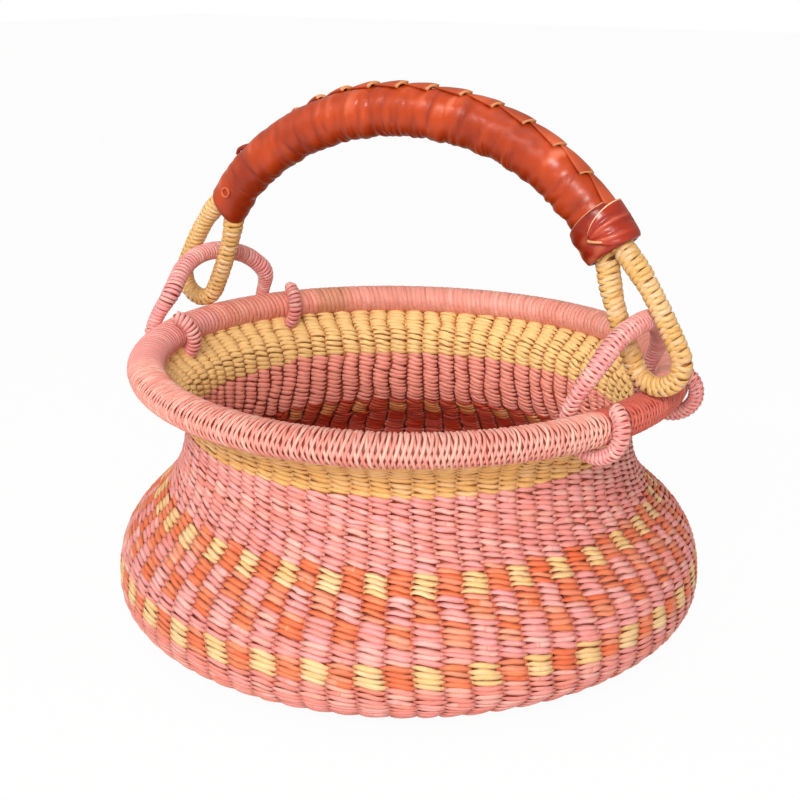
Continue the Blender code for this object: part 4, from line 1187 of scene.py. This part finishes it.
for name, loop, end in (("right", right_loop, right_end), ("left", left_loop, left_end)):
    points = np.concatenate([outer_strand[end], loop, inner_strand[end][::-1]])
    away = np.linalg.norm(points - loop[len(loop) // 2], axis=1)
    route = guide(name + "_loop_route", points,
                  1.0 + FULLNESS / ROPE * smooth_step((away - FULL_FROM) / FULL_WITHIN))
    for layer, lean in enumerate((-0.0012, 0.0010)):
        meshes.append(follow(f"{name}_loop_{layer}", winding, route, "rope", ROPE, ROPE, {
            "Pitch": 0.0030, "Lean": lean, "Zigzag": 0.0003, "Jitter": 0.0003,
            "Start": 0.03 + 0.006 * layer, "Stop": 0.97, "Steps per Turn": 20, "Sides": 6,
            "Straw Half Wide": 0.0014, "Straw Half Thick": 0.0005, "Sink": 0.0005,
            "Sink Phase": math.pi * layer, "Seed": 60 + len(meshes)}))
show("handle_loops", join_meshes("handle_loops", meshes), "handle", "rope_straw", "handle_rope")

# %% [markdown]
# ## Leather
# The leather is a smooth skin with soft folds across it, deeper on the hollow side of the handle,
# where the skin is pressed together. It is paler on top of the folds, which is partly wear and partly a
# painted highlight, and darker between them, on its underside and at its turned-in ends, which is
# painted shade. Its raw edges are pale. An image of leather could be laid on it, but it wouldn't know
# where the folds and the edges are. So the pieces store two numbers, fold (how deep a point lies, and
# how much painted shade it gets) and cut (1 on raw edges), and one shader group makes the colour
# from them.


# %% The leather shader group
LEATHER_BUMP = (0.4, 0.0006)
LEATHER_SHINE = 0.4
# A pale rubbed colour on the ridges: partly wear, partly a painted highlight.
WEAR_AND_HIGHLIGHT = linear(236, 142, 108)
# How strongly the dark (mottle and painted shade) and the wear and painted highlight show at most.
DARK_SHARE, WEAR_AND_HIGHLIGHT_SHARE = 0.75, 0.42


def leather_tree():
    """Colour, roughness and height of leather."""
    tree, given, end = new_tree(
        "tanned_leather", "ShaderNodeTree",
        {"Hide": (0.5, 0.1, 0.02, 1.0), "Dark": (0.2, 0.02, 0.005, 1.0), "Raw": (0.8, 0.5, 0.3, 1.0),
         "Matt": 0.3},
        {"Color": "NodeSocketColor", "Roughness": "NodeSocketFloat", "Height": "NodeSocketFloat"})
    place = put(tree, "ShaderNodeTexCoord", out="Object")
    cloud = noise(tree, place, 38.0, 3.0)
    grain = noise(tree, place, 900.0, 2.0)
    fold = attribute(tree, "fold")
    cut = attribute(tree, "cut")
    # Dark in the creases, on the underside and at the turned-in ends is painted shade; pale on the ridges
    # is wear and a painted highlight.
    dark = map_range(tree, cloud + fold * 0.12, 0.42, 0.75)
    wear_and_highlight = map_range(tree, cloud + fold * 0.25, 0.44, 0.18)
    hide = mixed(tree, dark * DARK_SHARE, given["Hide"], given["Dark"])
    hide = mixed(tree, wear_and_highlight * WEAR_AND_HIGHLIGHT_SHARE, hide, WEAR_AND_HIGHLIGHT)
    plug(tree, end.inputs["Color"], mixed(tree, cut, hide, given["Raw"]))
    plug(tree, end.inputs["Roughness"], cloud * 0.22 + given["Matt"] + cut * 0.3)
    plug(tree, end.inputs["Height"], grain * 0.25 + cloud)
    return tree


leather_group = leather_tree()
print("leather group:", len(leather_group.nodes), "nodes")


def leather(name, hide, dark, raw, matt=0.3):
    """A leather material: the hide, the dark of its mottle and of the painted shade in its folds, its raw
    edges, and how matt it is.
    """
    colours = {"Hide": linear(*hide), "Dark": linear(*dark), "Raw": linear(*raw)}
    return group_look(name, leather_group, {**colours, "Matt": matt}, LEATHER_BUMP, LEATHER_SHINE)


# Hide, the dark of its mottle and of the painted shade in its folds, its raw edges, and how matt it is.
PALE_RAW = (224, 178, 132)
looks["sleeve"] = leather("sleeve_leather_look", (178, 62, 18), (122, 30, 5), (214, 158, 108), 0.23)
looks["strap"] = leather("strap_leather_look", (186, 76, 36), (118, 34, 12), (206, 140, 92))
looks["cuff"] = leather("cuff_leather_look", (142, 36, 14), (82, 12, 4), PALE_RAW, 0.2)
looks["flap"] = leather("flap_leather_look", (164, 48, 26), (92, 14, 6), (226, 184, 144), 0.12)


# %% Meshes with attributes
def solid_mesh(name, verts, faces, look, cuts=None, folds=None):
    """A closed smooth mesh. Cuts are one number for each face, folds one for each point."""
    mesh = bpy.data.meshes.new(name)
    mesh.from_pydata(np.asarray(verts, float).tolist(), [], faces)
    mesh.materials.append(look)
    for label, values, domain in (("cut", cuts, "FACE"), ("fold", folds, "POINT")):
        if values is not None:
            stored = mesh.attributes.new(label, "FLOAT", domain)
            stored.data.foreach_set("value", np.asarray(values, np.float32))
    work = bmesh.new()
    work.from_mesh(mesh)
    bmesh.ops.recalc_face_normals(work, faces=work.faces)
    work.to_mesh(mesh)
    work.free()
    mesh.polygons.foreach_set("use_smooth", [True] * len(mesh.polygons))
    return mesh


def ring_faces(rows, count, closed=False):
    """Faces of a tube of rings, with a fan to a middle point at each end when it isn't closed."""
    faces = []
    for i in range(rows if closed else rows - 1):
        for j in range(count):
            a, b = i * count, ((i + 1) % rows) * count
            k = (j + 1) % count
            faces.append((a + j, a + k, b + k, b + j))
    if not closed:
        first, last = rows * count, rows * count + 1
        for j in range(count):
            k = (j + 1) % count
            faces.append((k, j, first))
            faces.append(((rows - 1) * count + j, (rows - 1) * count + k, last))
    return faces


def tube(rings):
    """Points and faces of a tube of rings with closed ends."""
    middles = [ring.mean(axis=0)[None] for ring in (rings[0], rings[-1])]
    return np.concatenate([*rings, *middles]), ring_faces(len(rings), len(rings[0]))


def sleeve_at(run):
    """Point, way along and way outwards on the handle's line, by distance from the left end."""
    along = unit(np.array([np.interp(run, sleeve_run, sleeve_along[:, i]) for i in range(3)]))
    point = np.array([np.interp(run, sleeve_run, sleeve_line[:, i]) for i in range(3)])
    point = point + along * min(0.0, run)
    return point, along, np.array([-along[2], 0.0, along[0]])


# The leather is this share of its full size at its ends, and gains the rest towards the crown.
END_GIRTH, CROWN_GIRTH = 0.94, 0.06


def sleeve_size(share):
    """Half height and half width of the leather at a share of its length."""
    ease = END_GIRTH + CROWN_GIRTH * np.sin(math.pi * np.clip(share, 0.0, 1.0))
    return SLEEVE_HALF_HIGH * ease, SLEEVE_HALF_WIDE * ease


print("mesh helpers ready")

# %% [markdown]
# ## Sleeve
# The sleeve is one sheet of leather, closed round both ropes and folded in over them at its ends. A
# cloth simulation could find its folds, but not the same ones twice. Here it is a tube of rings
# round the handle's line, made a little larger or smaller by soft waves that lean as they go round
# and by short sharp creases.

# %% Sleeve
# How much longer the left end is below than at the crown, within which distance, and how square the
# skin is across.
LEFT_END_SLANT, SLANT_REACH = 0.0065, 0.035
SKIN_SQUARENESS = 0.94
RINGS = 520
SIDES = 56
CREASES = 120
# What the folds are in depth at the crown and how much more below, and how the ends turn in: how
# much narrower, how far from the end, and how much darker.
FOLD_DEPTH, FOLD_DEPTH_BELOW = 0.00034, 0.00042
TURN_IN = [(0.0034, 0.0070), (0.0032, 0.0012), (0.0026, 0.0002), (0.0014, -0.0002), (0.0005, 0.0004)]
TURN_IN_SHADE = 0.8
FIRST_RING = 0.0016
BELOW_SHADE = 2.8
# Length along the handle, how many times it winds round, and size of each soft wave.
WAVES = [(0.0067, 2, 0.16), (0.0094, 1, 0.20), (0.0149, 2, 0.26), (0.0262, 1, 0.30)]
wave = np.random.default_rng(7)
waves = [(length, wave.uniform(0, 6.28), spirals, size) for length, spirals, size in WAVES]
# Share along the handle, angle, reach round it, half width, lean and depth of each crease.
creases = np.column_stack([
    wave.uniform(0.02, 1.0, CREASES) ** 0.75, wave.normal(-1.9, 1.0, CREASES),
    wave.uniform(0.35, 1.1, CREASES), wave.uniform(0.0006, 0.0017, CREASES),
    wave.uniform(-0.0030, 0.0030, CREASES), wave.uniform(0.3, 1.1, CREASES)])


def fold_at(run, angle):
    """Depth of the folds at a place on the skin, from -1 to 1."""
    total = 0.0
    for length, start, spirals, size in waves:
        bend = 0.9 * np.sin(2.0 * angle - start + run * 90.0)
        total = total + size * np.sin(run / length * FULL_TURN + start + spirals * angle + bend)
    for share, middle, reach, half_wide, lean, deep in creases:
        off = (angle - middle + math.pi) % FULL_TURN - math.pi
        away = (run - share * SLEEVE_LENGTH - lean * off) / half_wide
        total = total - deep * np.exp(-away * away - (off / reach) ** 2)
    return total


def sleeve_ring(run, shrink, folded):
    """One ring of the skin and the fold number of its points."""
    high, wide = sleeve_size(run / SLEEVE_LENGTH)
    angles = np.arange(SIDES) * FULL_TURN / SIDES
    below = 0.5 - 0.5 * np.sin(angles)
    fold = fold_at(run, angles)
    depth = fold * (FOLD_DEPTH + FOLD_DEPTH_BELOW * below) if folded else 0.0
    shape = np.abs(np.sin(angles)) ** SKIN_SQUARENESS * np.sign(np.sin(angles))
    longer = LEFT_END_SLANT * below * smooth_step(1.0 - run / SLANT_REACH)
    places = [sleeve_at(run - step) for step in longer]
    points = np.array([place[0] for place in places])
    outs = np.array([place[2] for place in places])
    ring = points + (shape * (high - shrink + depth))[:, None] * outs
    ring = ring + np.outer(np.cos(angles) * (wide - shrink + depth), [0.0, 1.0, 0.0])
    # The fold number paints shade on the underside, in the creases and at the turned-in ends.
    return ring, BELOW_SHADE * below ** 3 - fold + (0.0 if folded else TURN_IN_SHADE)


rows = [(run, shrink, False) for shrink, run in TURN_IN]
rows += [(run, 0.0, True) for run in np.linspace(FIRST_RING, SLEEVE_LENGTH - FIRST_RING, RINGS)]
rows += [(SLEEVE_LENGTH - run, shrink, False) for shrink, run in TURN_IN[::-1]]
rings, folds = zip(*(sleeve_ring(*row) for row in rows))
sleeve = solid_mesh("sleeve", *tube(rings), looks["sleeve"], None, np.concatenate([*folds, np.ones(2)]))
show("sleeve", sleeve, "handle", "sleeve_leather", "leather_sleeve")

# %% [markdown]
# ## Lacing
# One strap closes the leather along the crown. It could be one long strip pushed through holes, but
# only its stitches show, and each is the same leaf of leather: it starts thin under the one before
# and ends thick with a pale cut end. So one flat leaf is made, and a tree repeats it along the
# handle, bends it over the crown, and gives each one a slightly different size and turn.

# %% One stitch, flat
STITCHES = 13
LACING_START_SHARE = 0.12
CUFF_LENGTH = 0.0190
STITCH_HALF_WIDE = 0.0039
STITCH_OVERLAP = 1.16
STITCH_SIDEWAYS = 0.0050
STITCH_SLANT = 0.42
# A stitch's width, as shares, its underside's height and its thickness: at the thin end, and what
# comes on top of it.
TIP_WIDTH, MIDDLE_WIDTH = 0.55, 0.45
TIP_LIFT, END_LIFT = 0.0003, 0.0009
TIP_THICK, END_THICK = 0.0007, 0.0009
# The worn edge of a stitch: which faces of a ring, from which ring on, and how pale.
WORN_COLUMNS, WORN_FROM, WORN_CUT = (7, 8, 9), 5, 0.55
CUFF_GAP = 0.0006
lacing_stop = 1.0 - (CUFF_LENGTH + CUFF_GAP) / SLEEVE_LENGTH
stitch_pitch = (lacing_stop - LACING_START_SHARE) * SLEEVE_LENGTH / STITCHES


def stitch_section(half, middle, base, thick):
    """Rounded section of the strap: across and height of its points, top then bottom."""
    spread = np.linspace(-1.0, 1.0, 11)
    dome = (1.0 - spread ** 2) * 0.35 + 0.65
    top = np.stack([middle + spread * half, base + thick * dome], axis=1)
    bottom = np.stack([middle + spread[::-1] * half * 0.98, base - (base - 0.0001) * spread ** 4], axis=1)
    return np.concatenate([top, bottom])


sections = []
for t in np.linspace(0.0, 1.0, 17):
    swell = math.sin(math.pi * min(1.0, 0.15 + t * 0.62))
    half = STITCH_HALF_WIDE * (TIP_WIDTH + MIDDLE_WIDTH * swell)
    base = TIP_LIFT + END_LIFT * smooth_step(t * 1.6 - 0.6)
    thick = TIP_THICK + END_THICK * smooth_step(t * 2.0)
    section = stitch_section(half, STITCH_SIDEWAYS * (0.5 - t), base, thick)
    slant = section[:, 0] * STITCH_SLANT
    along = np.full(len(section), t * stitch_pitch * STITCH_OVERLAP) + slant * (0.35 + 0.65 * t)
    sections.append(np.column_stack([along, section]))
count = len(sections[0])
verts, faces = tube(sections)
tail = (len(sections) - 1) * count
cuts = [1.0 if min(face) >= tail or face[-1] == len(verts) - 1 else 0.0 for face in faces]
for row in range(WORN_FROM, len(sections) - 1):
    for column in WORN_COLUMNS:
        cuts[row * count + column] = WORN_CUT
stitch = add_object("stitch", solid_mesh("stitch", verts, faces, looks["strap"], cuts,
                                         np.zeros(len(verts))))
guides.append(stitch)
print(f"{STITCHES} stitches, one each {stitch_pitch * 1000:.1f} mm")


# %% The lacing tree
# The shares of the handle between which the row of stitches comes over the crown, and how far beside
# its top the row then stays.
LACING_CROSSES = (0.16, 0.46)
LACING_REST = 0.0008


def lacing_tree():
    """Stitches along a line, bent over an oval."""
    tree, given, end = new_tree(
        "lacing", "GeometryNodeTree",
        {"Sleeve": "object", "Stitch": "object", "Count": 14, "First": 0.04, "Pitch": 0.02,
         "Half High": 0.013, "Half Wide": 0.0106, "Drift": 0.0088, "Seed": 3, "Material": "material"},
        MESH)
    line = put(tree, "GeometryNodeMeshLine",
               {"Count": given["Count"], "Start Location": vector(tree, given["First"], 0.0, 0.0),
                "Offset": vector(tree, given["Pitch"], 0.0, 0.0)})
    number = put(tree, "GeometryNodeInputIndex")
    turn = chance(tree, number, given["Seed"], -0.05, 0.05)
    size = chance(tree, number, given["Seed"] + 1.0, 0.94, 1.05)
    made = put(tree, "GeometryNodeInstanceOnPoints",
               {"Points": line, "Instance": shape_of(tree, given["Stitch"]),
                "Rotation": vector(tree, 0.0, 0.0, turn), "Scale": vector(tree, 1.0, size, 1.0)})
    made = put(tree, "GeometryNodeRealizeInstances", {"Geometry": made})
    run, across, height = parts_of(tree, put(tree, "GeometryNodeInputPosition"))
    path = shape_of(tree, given["Sleeve"])
    sample, tangent, _ = along_curve(tree, path, run)
    along_x, _, along_z = parts_of(tree, tangent)
    out = vector(tree, -along_z, 0.0, along_x)
    share = run / put(tree, "GeometryNodeCurveLength", {"Curve": path})
    ease = (share * math.pi).math("SINE") * CROWN_GIRTH + END_GIRTH
    high = given["Half High"] * ease
    wide = given["Half Wide"] * ease
    drift = map_range(tree, share, *LACING_CROSSES, given["Drift"], LACING_REST, smooth=True)
    cosine, sine = cosine_and_sine((across + drift) / wide)
    side = vector(tree, 0.0, 1.0, 0.0)
    normal = vector_sum(tree, "ADD", scaled(tree, out, cosine / high), scaled(tree, side, sine / wide))
    normal = vector_sum(tree, "NORMALIZE", normal)
    place = vector_sum(tree, "ADD", scaled(tree, out, high * cosine), scaled(tree, side, wide * sine))
    place = vector_sum(tree, "ADD", vector_sum(tree, "ADD", sample, place), scaled(tree, normal, height))
    made = put(tree, "GeometryNodeSetPosition", {"Geometry": made, "Position": place})
    return finish_tree(tree, end, made, given["Material"])


# Where the loose start of the strap runs, as shares of the handle, its half width and thickness, how
# far it starts above the leather, rises and dips, and its girth at its start, middle and end.
STUB_SHARES = (0.122, 0.084)
STUB_SIZES = (0.0019, 0.0015)
STUB_START, STUB_RISE, STUB_DIP = 0.0008, 0.0026, 0.0016
STUB_GIRTHS = (0.5, 1.0, 0.6)
stitches = run_tree("lacing", lacing_tree(), {
    "Sleeve": guide("sleeve_line", sleeve_line), "Stitch": stitch, "Count": STITCHES,
    "Material": looks["strap"], "First": LACING_START_SHARE * SLEEVE_LENGTH, "Pitch": stitch_pitch,
    "Half High": SLEEVE_HALF_HIGH, "Half Wide": SLEEVE_HALF_WIDE})
stub_points = []
for s in np.linspace(0.0, 1.0, 12):
    point, _, out = sleeve_at((STUB_SHARES[0] + (STUB_SHARES[1] - STUB_SHARES[0]) * s) * SLEEVE_LENGTH)
    rise = SLEEVE_HALF_HIGH * 0.95 + STUB_START + STUB_RISE * smooth_step(s)
    rise = rise - STUB_DIP * smooth_step(s * 4.0 - 3.0)
    stub_points.append(point + out * rise + np.array([0.0, 0.0035 - 0.003 * s, 0.0]))
stub_guide = guide("lacing_stub", stub_points,
                   np.interp(np.linspace(0, 1, 12), [0, 0.5, 1], STUB_GIRTHS))
stub = follow("lacing_stub", core, stub_guide, "cuff", *STUB_SIZES, {"Rings": 24, "Sides": 10})
show("lacing", join_meshes("lacing", [stitches, stub]), "handle", "strap_leather", "lacing_thong")

# %% [markdown]
# ## Cuff, flap and ring
# At the right end the strap goes once round the sleeve, folds back over itself and is pulled down
# through a small hole. At the left end only a small ring of strap shows. Each could be cut from a
# flat sheet and bent, but their edges have to follow the sleeve closely. So all are written as
# points off the sleeve: how far along, how far round, and how high above it.


# %% Cuff
def off_cuff(share, angle, height):
    """Point off the cuff: share runs along it, the angle goes from the crown down the -Y side."""
    run = SLEEVE_LENGTH - CUFF_LENGTH * (1.0 - share)
    point, _, out = sleeve_at(run)
    high, wide = sleeve_size(run / SLEEVE_LENGTH)
    side = np.array([0.0, -1.0, 0.0])
    return point + out * (high + height) * math.cos(angle) + side * (wide + height) * math.sin(angle)


# How far the edge leans round the cuff, its two sets of small waves, and how dark they are.
CUFF_SIDES = 64
CUFF_SLANT = 0.10
CUFF_WAVES = (0.00022, 0.00016)
FOLD_SHADE = 1800.0
CUFF_HEIGHT, CUFF_BULGE = 0.0022, 0.0005
# Share of the cuff's length and height above the leather, from the raw edge on.
profile = [(0.0, 0.0004), (0.0, 0.0014), (0.02, 0.0020)]
profile += [(t, CUFF_HEIGHT + CUFF_BULGE * math.sin(math.pi * t)) for t in np.linspace(0.06, 0.94, 22)]
profile += [(0.98, 0.0019), (1.0, 0.0012), (1.0, 0.0004)]
cuff_rings = []
cuff_folds = []
for share, height in profile:
    ring = []
    for j in range(CUFF_SIDES):
        angle = j * FULL_TURN / CUFF_SIDES
        slant = CUFF_SLANT * math.sin(angle + 0.6) * (1.0 - share)
        fold = (CUFF_WAVES[0] * math.sin(share * 13.0 + 2.0 * math.sin(angle * 2.0))
                + CUFF_WAVES[1] * math.sin(angle * 7 + share * 9))
        swell = fold if 0.03 < share < 0.97 else 0.0
        ring.append(off_cuff(share - slant, angle, height + swell))
        cuff_folds.append(fold * FOLD_SHADE)
    cuff_rings.append(ring)
faces = ring_faces(len(cuff_rings), CUFF_SIDES, closed=True)
cuts = [1.0 if i < 2 * CUFF_SIDES else 0.0 for i in range(len(faces))]
show("cuff", solid_mesh("cuff", np.concatenate(cuff_rings), faces, looks["cuff"], cuts, cuff_folds),
     "handle", "sleeve_leather", "end_cuff")

# %% Flap
FLAP_ROWS = 30
FLAP_COLUMNS = 33
HOLE_SHARE = 0.50
HOLE_ANGLE = math.radians(97.0)
# The flap starts a little beyond the crown and narrows down to the hole.
CROWN_OVERHANG = math.radians(14.0)
HOLE_HALF = 0.05
FLAP_LEFT, FLAP_RIGHT = 0.02, 1.0
# Heights above the leather: of the flap's upper side, its thickness at the edge and its folds, of its
# underside, and how far both sink into the hole over the last share of the way.
FLAP_TOP, FLAP_EDGE, FLAP_FOLD, FLAP_UNDER = 0.0030, 0.0012, 0.00085, 0.0024
TOP_SINK, UNDER_SINK, HOLE_FROM, HOLE_WITHIN = 0.0016, 0.0014, 0.93, 0.07
HOLE_SHADE = 5.0
top = []
bottom = []
flap_folds = []
for row in range(FLAP_ROWS):
    t = row / (FLAP_ROWS - 1)
    angle = -CROWN_OVERHANG + (HOLE_ANGLE + CROWN_OVERHANG) * t
    left = FLAP_LEFT + (HOLE_SHARE - HOLE_HALF - FLAP_LEFT) * t ** 3.6
    right = FLAP_RIGHT + (HOLE_SHARE + HOLE_HALF - FLAP_RIGHT) * t ** 4.0
    sunk = smooth_step((t - HOLE_FROM) / HOLE_WITHIN)
    for column in range(FLAP_COLUMNS):
        u = column / (FLAP_COLUMNS - 1)
        share = left + (right - left) * u
        ray = (math.sin(u * 17.0 + 1.0) + 0.6 * math.sin(u * 31.0 + 5.0 * t)) * math.sin(math.pi * u)
        fold = ray * (1.0 - t) ** 0.4 * t ** 0.3
        edge = 1.0 - max(0.0, 2.0 * u - 1.0) ** 8
        height = FLAP_TOP + FLAP_EDGE * edge * (1.0 - 0.4 * t) + FLAP_FOLD * fold - TOP_SINK * sunk
        top.append(off_cuff(share, angle, height))
        bottom.append(off_cuff(share, angle, FLAP_UNDER - UNDER_SINK * sunk))
        # Darker into the hole and in the grooves: painted shade.
        flap_folds.append(HOLE_SHADE * sunk - fold)
size = FLAP_ROWS * FLAP_COLUMNS
# Both sides first, then the left and right edges, then the upper and lower edges.
faces = []
cuts = []
for row in range(FLAP_ROWS - 1):
    for column in range(FLAP_COLUMNS - 1):
        a = row * FLAP_COLUMNS + column
        quad = (a, a + 1, a + 1 + FLAP_COLUMNS, a + FLAP_COLUMNS)
        faces += [quad, tuple(size + i for i in quad[::-1])]
        cuts += [1.0 if column == 0 else 0.0, 0.0]
for row in range(FLAP_ROWS - 1):
    a = row * FLAP_COLUMNS
    faces += [(a, a + FLAP_COLUMNS, a + FLAP_COLUMNS + size, a + size)]
    cuts += [1.0]
    a += FLAP_COLUMNS - 1
    faces += [(a + FLAP_COLUMNS, a, a + size, a + FLAP_COLUMNS + size)]
    cuts += [0.0]
for column in range(FLAP_COLUMNS - 1):
    a = column
    faces += [(a + 1, a, a + size, a + 1 + size)]
    a += (FLAP_ROWS - 1) * FLAP_COLUMNS
    faces += [(a, a + 1, a + 1 + size, a + size)]
    cuts += [0.0, 1.0]
flap = solid_mesh("flap", top + bottom, faces, looks["flap"], cuts, flap_folds * 2)
print(f"flap: {FLAP_ROWS} rows from the crown down to the hole")

# %% The tail that comes out of the hole
# How far it runs along and round the cuff, its height and arch, its half thickness and width.
TAIL_ALONG, TAIL_ROUND = 0.24, 0.42
TAIL_HEIGHT, TAIL_ARCH = 0.0030, 0.0022
TAIL_SIZES = (0.0006, 0.0008)
looks["tail"] = leather("tail_look", (214, 150, 104), (170, 96, 58), PALE_RAW)
tail_points = [off_cuff(HOLE_SHARE + TAIL_ALONG * s, HOLE_ANGLE - TAIL_ROUND * s,
                        TAIL_HEIGHT + TAIL_ARCH * math.sin(math.pi * s * 0.6))
               for s in np.linspace(0.0, 1.0, 9)]
tail_guide = guide("thong_tail", tail_points, np.linspace(1.0, 0.6, 9))
tail = follow("thong_tail", core, tail_guide, "tail", *TAIL_SIZES, {"Rings": 16, "Sides": 10})
show("flap", join_meshes("flap", [flap, tail]), "handle", "strap_leather", "thong_flap")

# %% Ring at the left end
KNOT_RADIUS = 0.0026
KNOT_THICK = 0.0007
KNOT_RUN = 0.0100
KNOT_GAP = 0.0003
knot_point, knot_along, knot_out = sleeve_at(KNOT_RUN)
knot_wide = sleeve_size(KNOT_RUN / SLEEVE_LENGTH)[1]
knot_centre = knot_point + np.array([0.0, -1.0, 0.0]) * (knot_wide + KNOT_GAP)
knot_ring = [knot_centre + KNOT_RADIUS * (knot_along * math.cos(a) + knot_out * math.sin(a))
             for a in np.arange(32) * FULL_TURN / 32]
looks["knot"] = leather("knot_look", (192, 92, 56), (150, 55, 25), (226, 172, 128))
knot_guide = guide("knot_ring", knot_ring, cyclic=True)
show("knot", follow("knot", core, knot_guide, "knot", KNOT_THICK, KNOT_THICK,
                    {"Rings": 40, "Sides": 12}), "handle", "strap_leather", "thong_knot")

# %% [markdown]
# ## Camera
# The photo was taken from a little above the rim, from the front and the right. A camera could be
# placed by eye. This one has the direction, height, distance and focal length that were fitted
# together to the outline of the basket in the photo, so that the two can be compared.

# %% Camera
CAMERA_AZIMUTH = math.radians(35.5)
CAMERA_ELEVATION = 0.313
CAMERA_DISTANCE = 0.75
LOOK_AT = np.array([0.0, 0.0, 0.11556])
# In pixels of the photo: its width, the focal length, and how far its middle lies to the side.
PHOTO_WIDTH, FOCAL_LENGTH, SIDE_SHIFT = 800.0, 1371.0, -9.0
SENSOR = 36.0
back = np.array([math.sin(CAMERA_AZIMUTH) * math.cos(CAMERA_ELEVATION),
                 -math.cos(CAMERA_AZIMUTH) * math.cos(CAMERA_ELEVATION), math.sin(CAMERA_ELEVATION)])
camera_data = bpy.data.cameras.new("camera")
camera_data.sensor_width = SENSOR
camera_data.lens = FOCAL_LENGTH / PHOTO_WIDTH * SENSOR
camera_data.shift_x = SIDE_SHIFT / PHOTO_WIDTH
camera = add_object("camera", camera_data)
camera.location = LOOK_AT + back * CAMERA_DISTANCE
camera.rotation_mode = "QUATERNION"
camera.rotation_quaternion = Vector(-back).to_track_quat("-Z", "Y")
bpy.context.scene.camera = camera
print(f"camera: {camera_data.lens:.1f} mm lens, {CAMERA_DISTANCE} m away")

# %% [markdown]
# ## Floor
# The basket stands on a white table whose edges can't be seen. A white backdrop bent upwards would
# throw light back from behind, so it is a plain plane. Light falls on it and casts a soft shadow,
# but most of what the camera sees of it is an even white glow, as in the photo.

# %% Floor
SPAN = 6.0
FLOOR_HEIGHT = -0.0006
GLOW_SHARE = 0.96
TABLE_WHITE = (0.8, 0.8, 0.8, 1.0)
TABLE_MATT = 0.9
floor_mesh = bpy.data.meshes.new("floor")
floor_mesh.from_pydata([(-SPAN, -SPAN, 0), (SPAN, -SPAN, 0), (SPAN, SPAN, 0), (-SPAN, SPAN, 0)], [],
                       [(0, 1, 2, 3)])
floor = add_object("floor", floor_mesh)
floor.location = (0.0, 0.0, FLOOR_HEIGHT)
floor_look = bpy.data.materials.new("floor_look")
floor_look.use_nodes = True
tree = floor_look.node_tree
shader = tree.nodes["Principled BSDF"]
shader.inputs["Base Color"].default_value = TABLE_WHITE
shader.inputs["Roughness"].default_value = TABLE_MATT
glow = tree.nodes.new("ShaderNodeEmission")
glow.inputs["Color"].default_value = WHITE
blend = tree.nodes.new("ShaderNodeMixShader")
path = tree.nodes.new("ShaderNodeLightPath")
plug(tree, blend.inputs[0], Wire(tree, path.outputs["Is Camera Ray"]) * GLOW_SHARE)
tree.links.new(shader.outputs[0], blend.inputs[1])
tree.links.new(glow.outputs[0], blend.inputs[2])
tree.links.new(blend.outputs[0], tree.nodes["Material Output"].inputs[0])
floor_mesh.materials.append(floor_look)
print("floor:", SPAN * 2, "m wide")

# %% [markdown]
# ## Light
# The photo was lit softly from the front. One sun would be simpler, but its shadows are too hard and
# the straws would look like wire. A white sky gives the even part, four wide lamps give the straws
# their shape, and a soft spot through the mouth lights the far inside wall, which the rim shades.

# %% Light
# How bright the sky is to the camera and to the basket, and its warm colour.
SKY_SEEN, SKY_LIGHT = 1.0, 0.52
SKY_COLOUR = (1.0, 0.95, 0.90, 1.0)
world = bpy.data.worlds.new("studio")
bpy.context.scene.world = world
world.use_nodes = True
tree = world.node_tree
sky = tree.nodes["Background"]
path = tree.nodes.new("ShaderNodeLightPath")
camera_ray, clear_ray = (Wire(tree, path.outputs[f"Is {ray} Ray"]) for ray in ("Camera", "Transmission"))
seen = camera_ray.math("MAXIMUM", clear_ray)
plug(tree, sky.inputs["Strength"], seen * (SKY_SEEN - SKY_LIGHT) + SKY_LIGHT)
plug(tree, sky.inputs["Color"], mixed(tree, seen, SKY_COLOUR, WHITE))


def lamp(name, place, target, size, power, cone=None):
    """A soft lamp aimed at a place; with a cone in degrees it is a spot."""
    data = bpy.data.lights.new(name, "SPOT" if cone else "AREA")
    if cone:
        data.spot_size = math.radians(cone)
        data.spot_blend = 1.0
        data.shadow_soft_size = size / 2
    else:
        data.size = size
    data.energy = power
    made = add_object(name, data)
    made.location = place
    aim = Vector(target) - Vector(place)
    made.rotation_mode = "QUATERNION"
    made.rotation_quaternion = aim.to_track_quat("-Z", "Y")


# Name, place, what it is aimed at, size, power in watts, and the cone of a spot.
lamp("key", (0.50, -1.15, 0.92), (0, 0, 0.12), 0.4, 12.8)
lamp("low", (0.85, -1.10, 0.62), (0, 0, 0.12), 0.7, 6.6)
lamp("fill", (-1.1, -0.9, 0.8), (0, 0, 0.1), 0.9, 1.5)
lamp("top", (0.0, -0.2, 1.6), (0, 0, 0.1), 0.8, 2.5)
lamp("mouth", (-0.45, -1.10, 0.95), (0.03, 0.11, 0.095), 0.24, 38.0, cone=12.0)
bpy.context.scene.view_settings.view_transform = "Standard"
print("camera and light ready")

# %% Put the guides away and finish
for item in guides:
    bpy.data.objects.remove(item, do_unlink=True)
